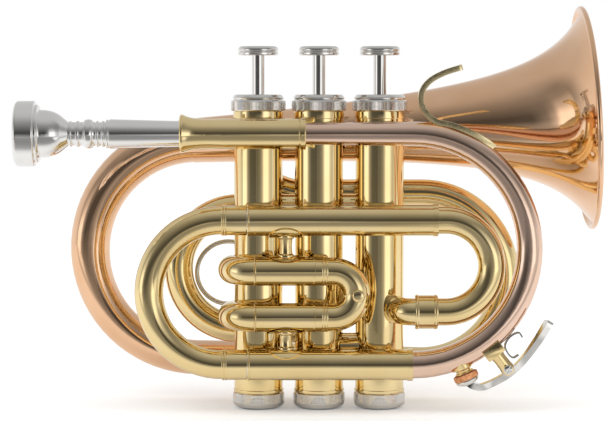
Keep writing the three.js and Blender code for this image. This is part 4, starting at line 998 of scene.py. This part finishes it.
pivot_angle, pivot_reach, lever_reach, lever_thick, lever_edge, lever_twist = 141.8, 63.8, 20, 2.8, 0.9, -14
pivot = on_loop(pivot_angle, pivot_reach)
lever_points = [
    (-0.83, -0.31, 4.4), (-0.72, -0.375, 5.2), (-0.52, -0.40, 5.0), (-0.31, -0.32, 4.4),
    (-0.06, -0.185, 4.8), (0.15, -0.03, 4.8), (0.325, 0.15, 4.8), (0.50, 0.375, 5.4), (0.69, 0.655, 6.2),
    (0.85, 0.93, 5.6), (0.885, 0.99, 4.0),
]
lever_line, lever_widths = faired_strip(
    [(pivot + Vector((x, 0, z)) * lever_reach, width) for x, z, width in lever_points], 4)
lever = strip("water_key_lever_arm", lever_line, lever_widths, lever_thick, lever_edge,
              twist=math.radians(lever_twist))
cup_outline = [(0, 0.5), (0, 4.9), (0.5, 5.1), (1.1, 4.9), (1.6, 4.3), (2.3, 3.0), (2.5, 0.5)]
cup = at_nipple("water_key_cup", cup_reach, cup_outline, solid=True)
hub_length, hub_radius = 5, 3.1
hub_outline = [(0, 0.5), (0, hub_radius), (hub_length, hub_radius), (hub_length, 0.5)]
hub = turned("water_key_hub", pivot + FAR * hub_length / 2, NEAR, hub_outline, sides=48, solid=True)
lever = smoothed(boolean(boolean(lever, cup, "UNION"), hub, "UNION"), 38)
dress(lever, nickel, "nickel", "water_key", "water_key_lever")

key_spring_reach, key_spring_width, key_spring_thick, key_spring_edge = 15, 3.0, 0.7, 0.15
key_spring_points = [
    (0.42, 0.87), (0.33, 1.0), (0.15, 0.94), (0, 0.79), (-0.06, 0.61), (0.02, 0.42), (0.16, 0.3),
    (0.32, 0.38)]
key_spring_line, key_spring_widths = faired_strip(
    [(pivot + Vector((x, 0, z)) * key_spring_reach, key_spring_width) for x, z in key_spring_points], 5)
key_spring = strip("water_key_spring_leaf", key_spring_line, key_spring_widths, key_spring_thick,
                   key_spring_edge)
dress(key_spring, spring_steel, "spring_steel", "instrument", "water_key_spring")

pin_outline = [(0, 0.4), (0, 1.6), (0.3, 1.9), (1.0, 1.9), (1.0, 1.0), (12.6, 1.0), (12.6, 0.4)]
pin_start, slot_turn, slot_size = pivot + NEAR * 6.7, math.radians(30), (0.5, 0.9, 6)
pin = turned("water_key_pin_screw", pin_start, FAR, pin_outline, sides=40, solid=True, edge=0.05)
bpy.ops.object.select_all(action="DESELECT")
bpy.ops.mesh.primitive_cube_add(size=MM, location=pin_start * MM, rotation=(0, slot_turn, 0))
driver_slot = bpy.context.object
driver_slot.scale = slot_size
pin = boolean(pin, driver_slot, "DIFFERENCE")
dress(pin, nickel, "nickel", "instrument", "water_key_pin")

post_foot, post_top, post_width, post_depth, post_rounding = 51.65, 66.9, 5.9, 9.6, 2.9
gap_foot, gap_top, gap_width, gap_depth = 58.1, 80, 9, 5.4
base_top, base_width, base_depth, key_saddle_edge = 56.6, 8.6, 10.8, 0.55


def block(name, low, high, width, depth):
    """A block that stands upright over the origin, before the saddle is turned to its place."""
    bpy.ops.object.select_all(action="DESELECT")
    bpy.ops.mesh.primitive_cube_add(size=MM, location=(0, 0, (low + high) / 2 * MM))
    made = bpy.context.object
    made.name = made.data.name = name
    made.scale = (width, depth, high - low)
    bpy.ops.object.transform_apply()
    return made


saddle = block("water_key_saddle_post", post_foot, post_top, post_width, post_depth)
bpy.ops.object.mode_set(mode="EDIT")
bpy.ops.mesh.select_mode(type="EDGE")
bpy.ops.object.mode_set(mode="OBJECT")
for edge in saddle.data.edges:
    ends = [saddle.data.vertices[corner].co / MM for corner in edge.vertices]
    edge.select = all(end.z > post_top - 0.1 for end in ends) and abs(ends[0].x - ends[1].x) < 0.1
bpy.ops.object.mode_set(mode="EDIT")
bpy.ops.mesh.bevel(offset=post_rounding * MM, segments=8, affect="EDGES")
bpy.ops.mesh.select_mode(type="VERT")
bpy.ops.object.mode_set(mode="OBJECT")
boolean(saddle, block("saddle_gap", gap_foot, gap_top, gap_width, gap_depth), "DIFFERENCE")
boolean(saddle, block("saddle_base", post_foot, base_top, base_width, base_depth), "UNION")
saddle.rotation_euler = (0, math.radians(pivot_angle), 0)
saddle.location = loop_middle * MM
bpy.ops.object.transform_apply()
saddle = break_edges(without_core(saddle), key_saddle_edge, sharp=50, rows=3, weighted=False)
soldered(saddle, "water_key_saddle")
bpy.data.objects.remove(loop_core)
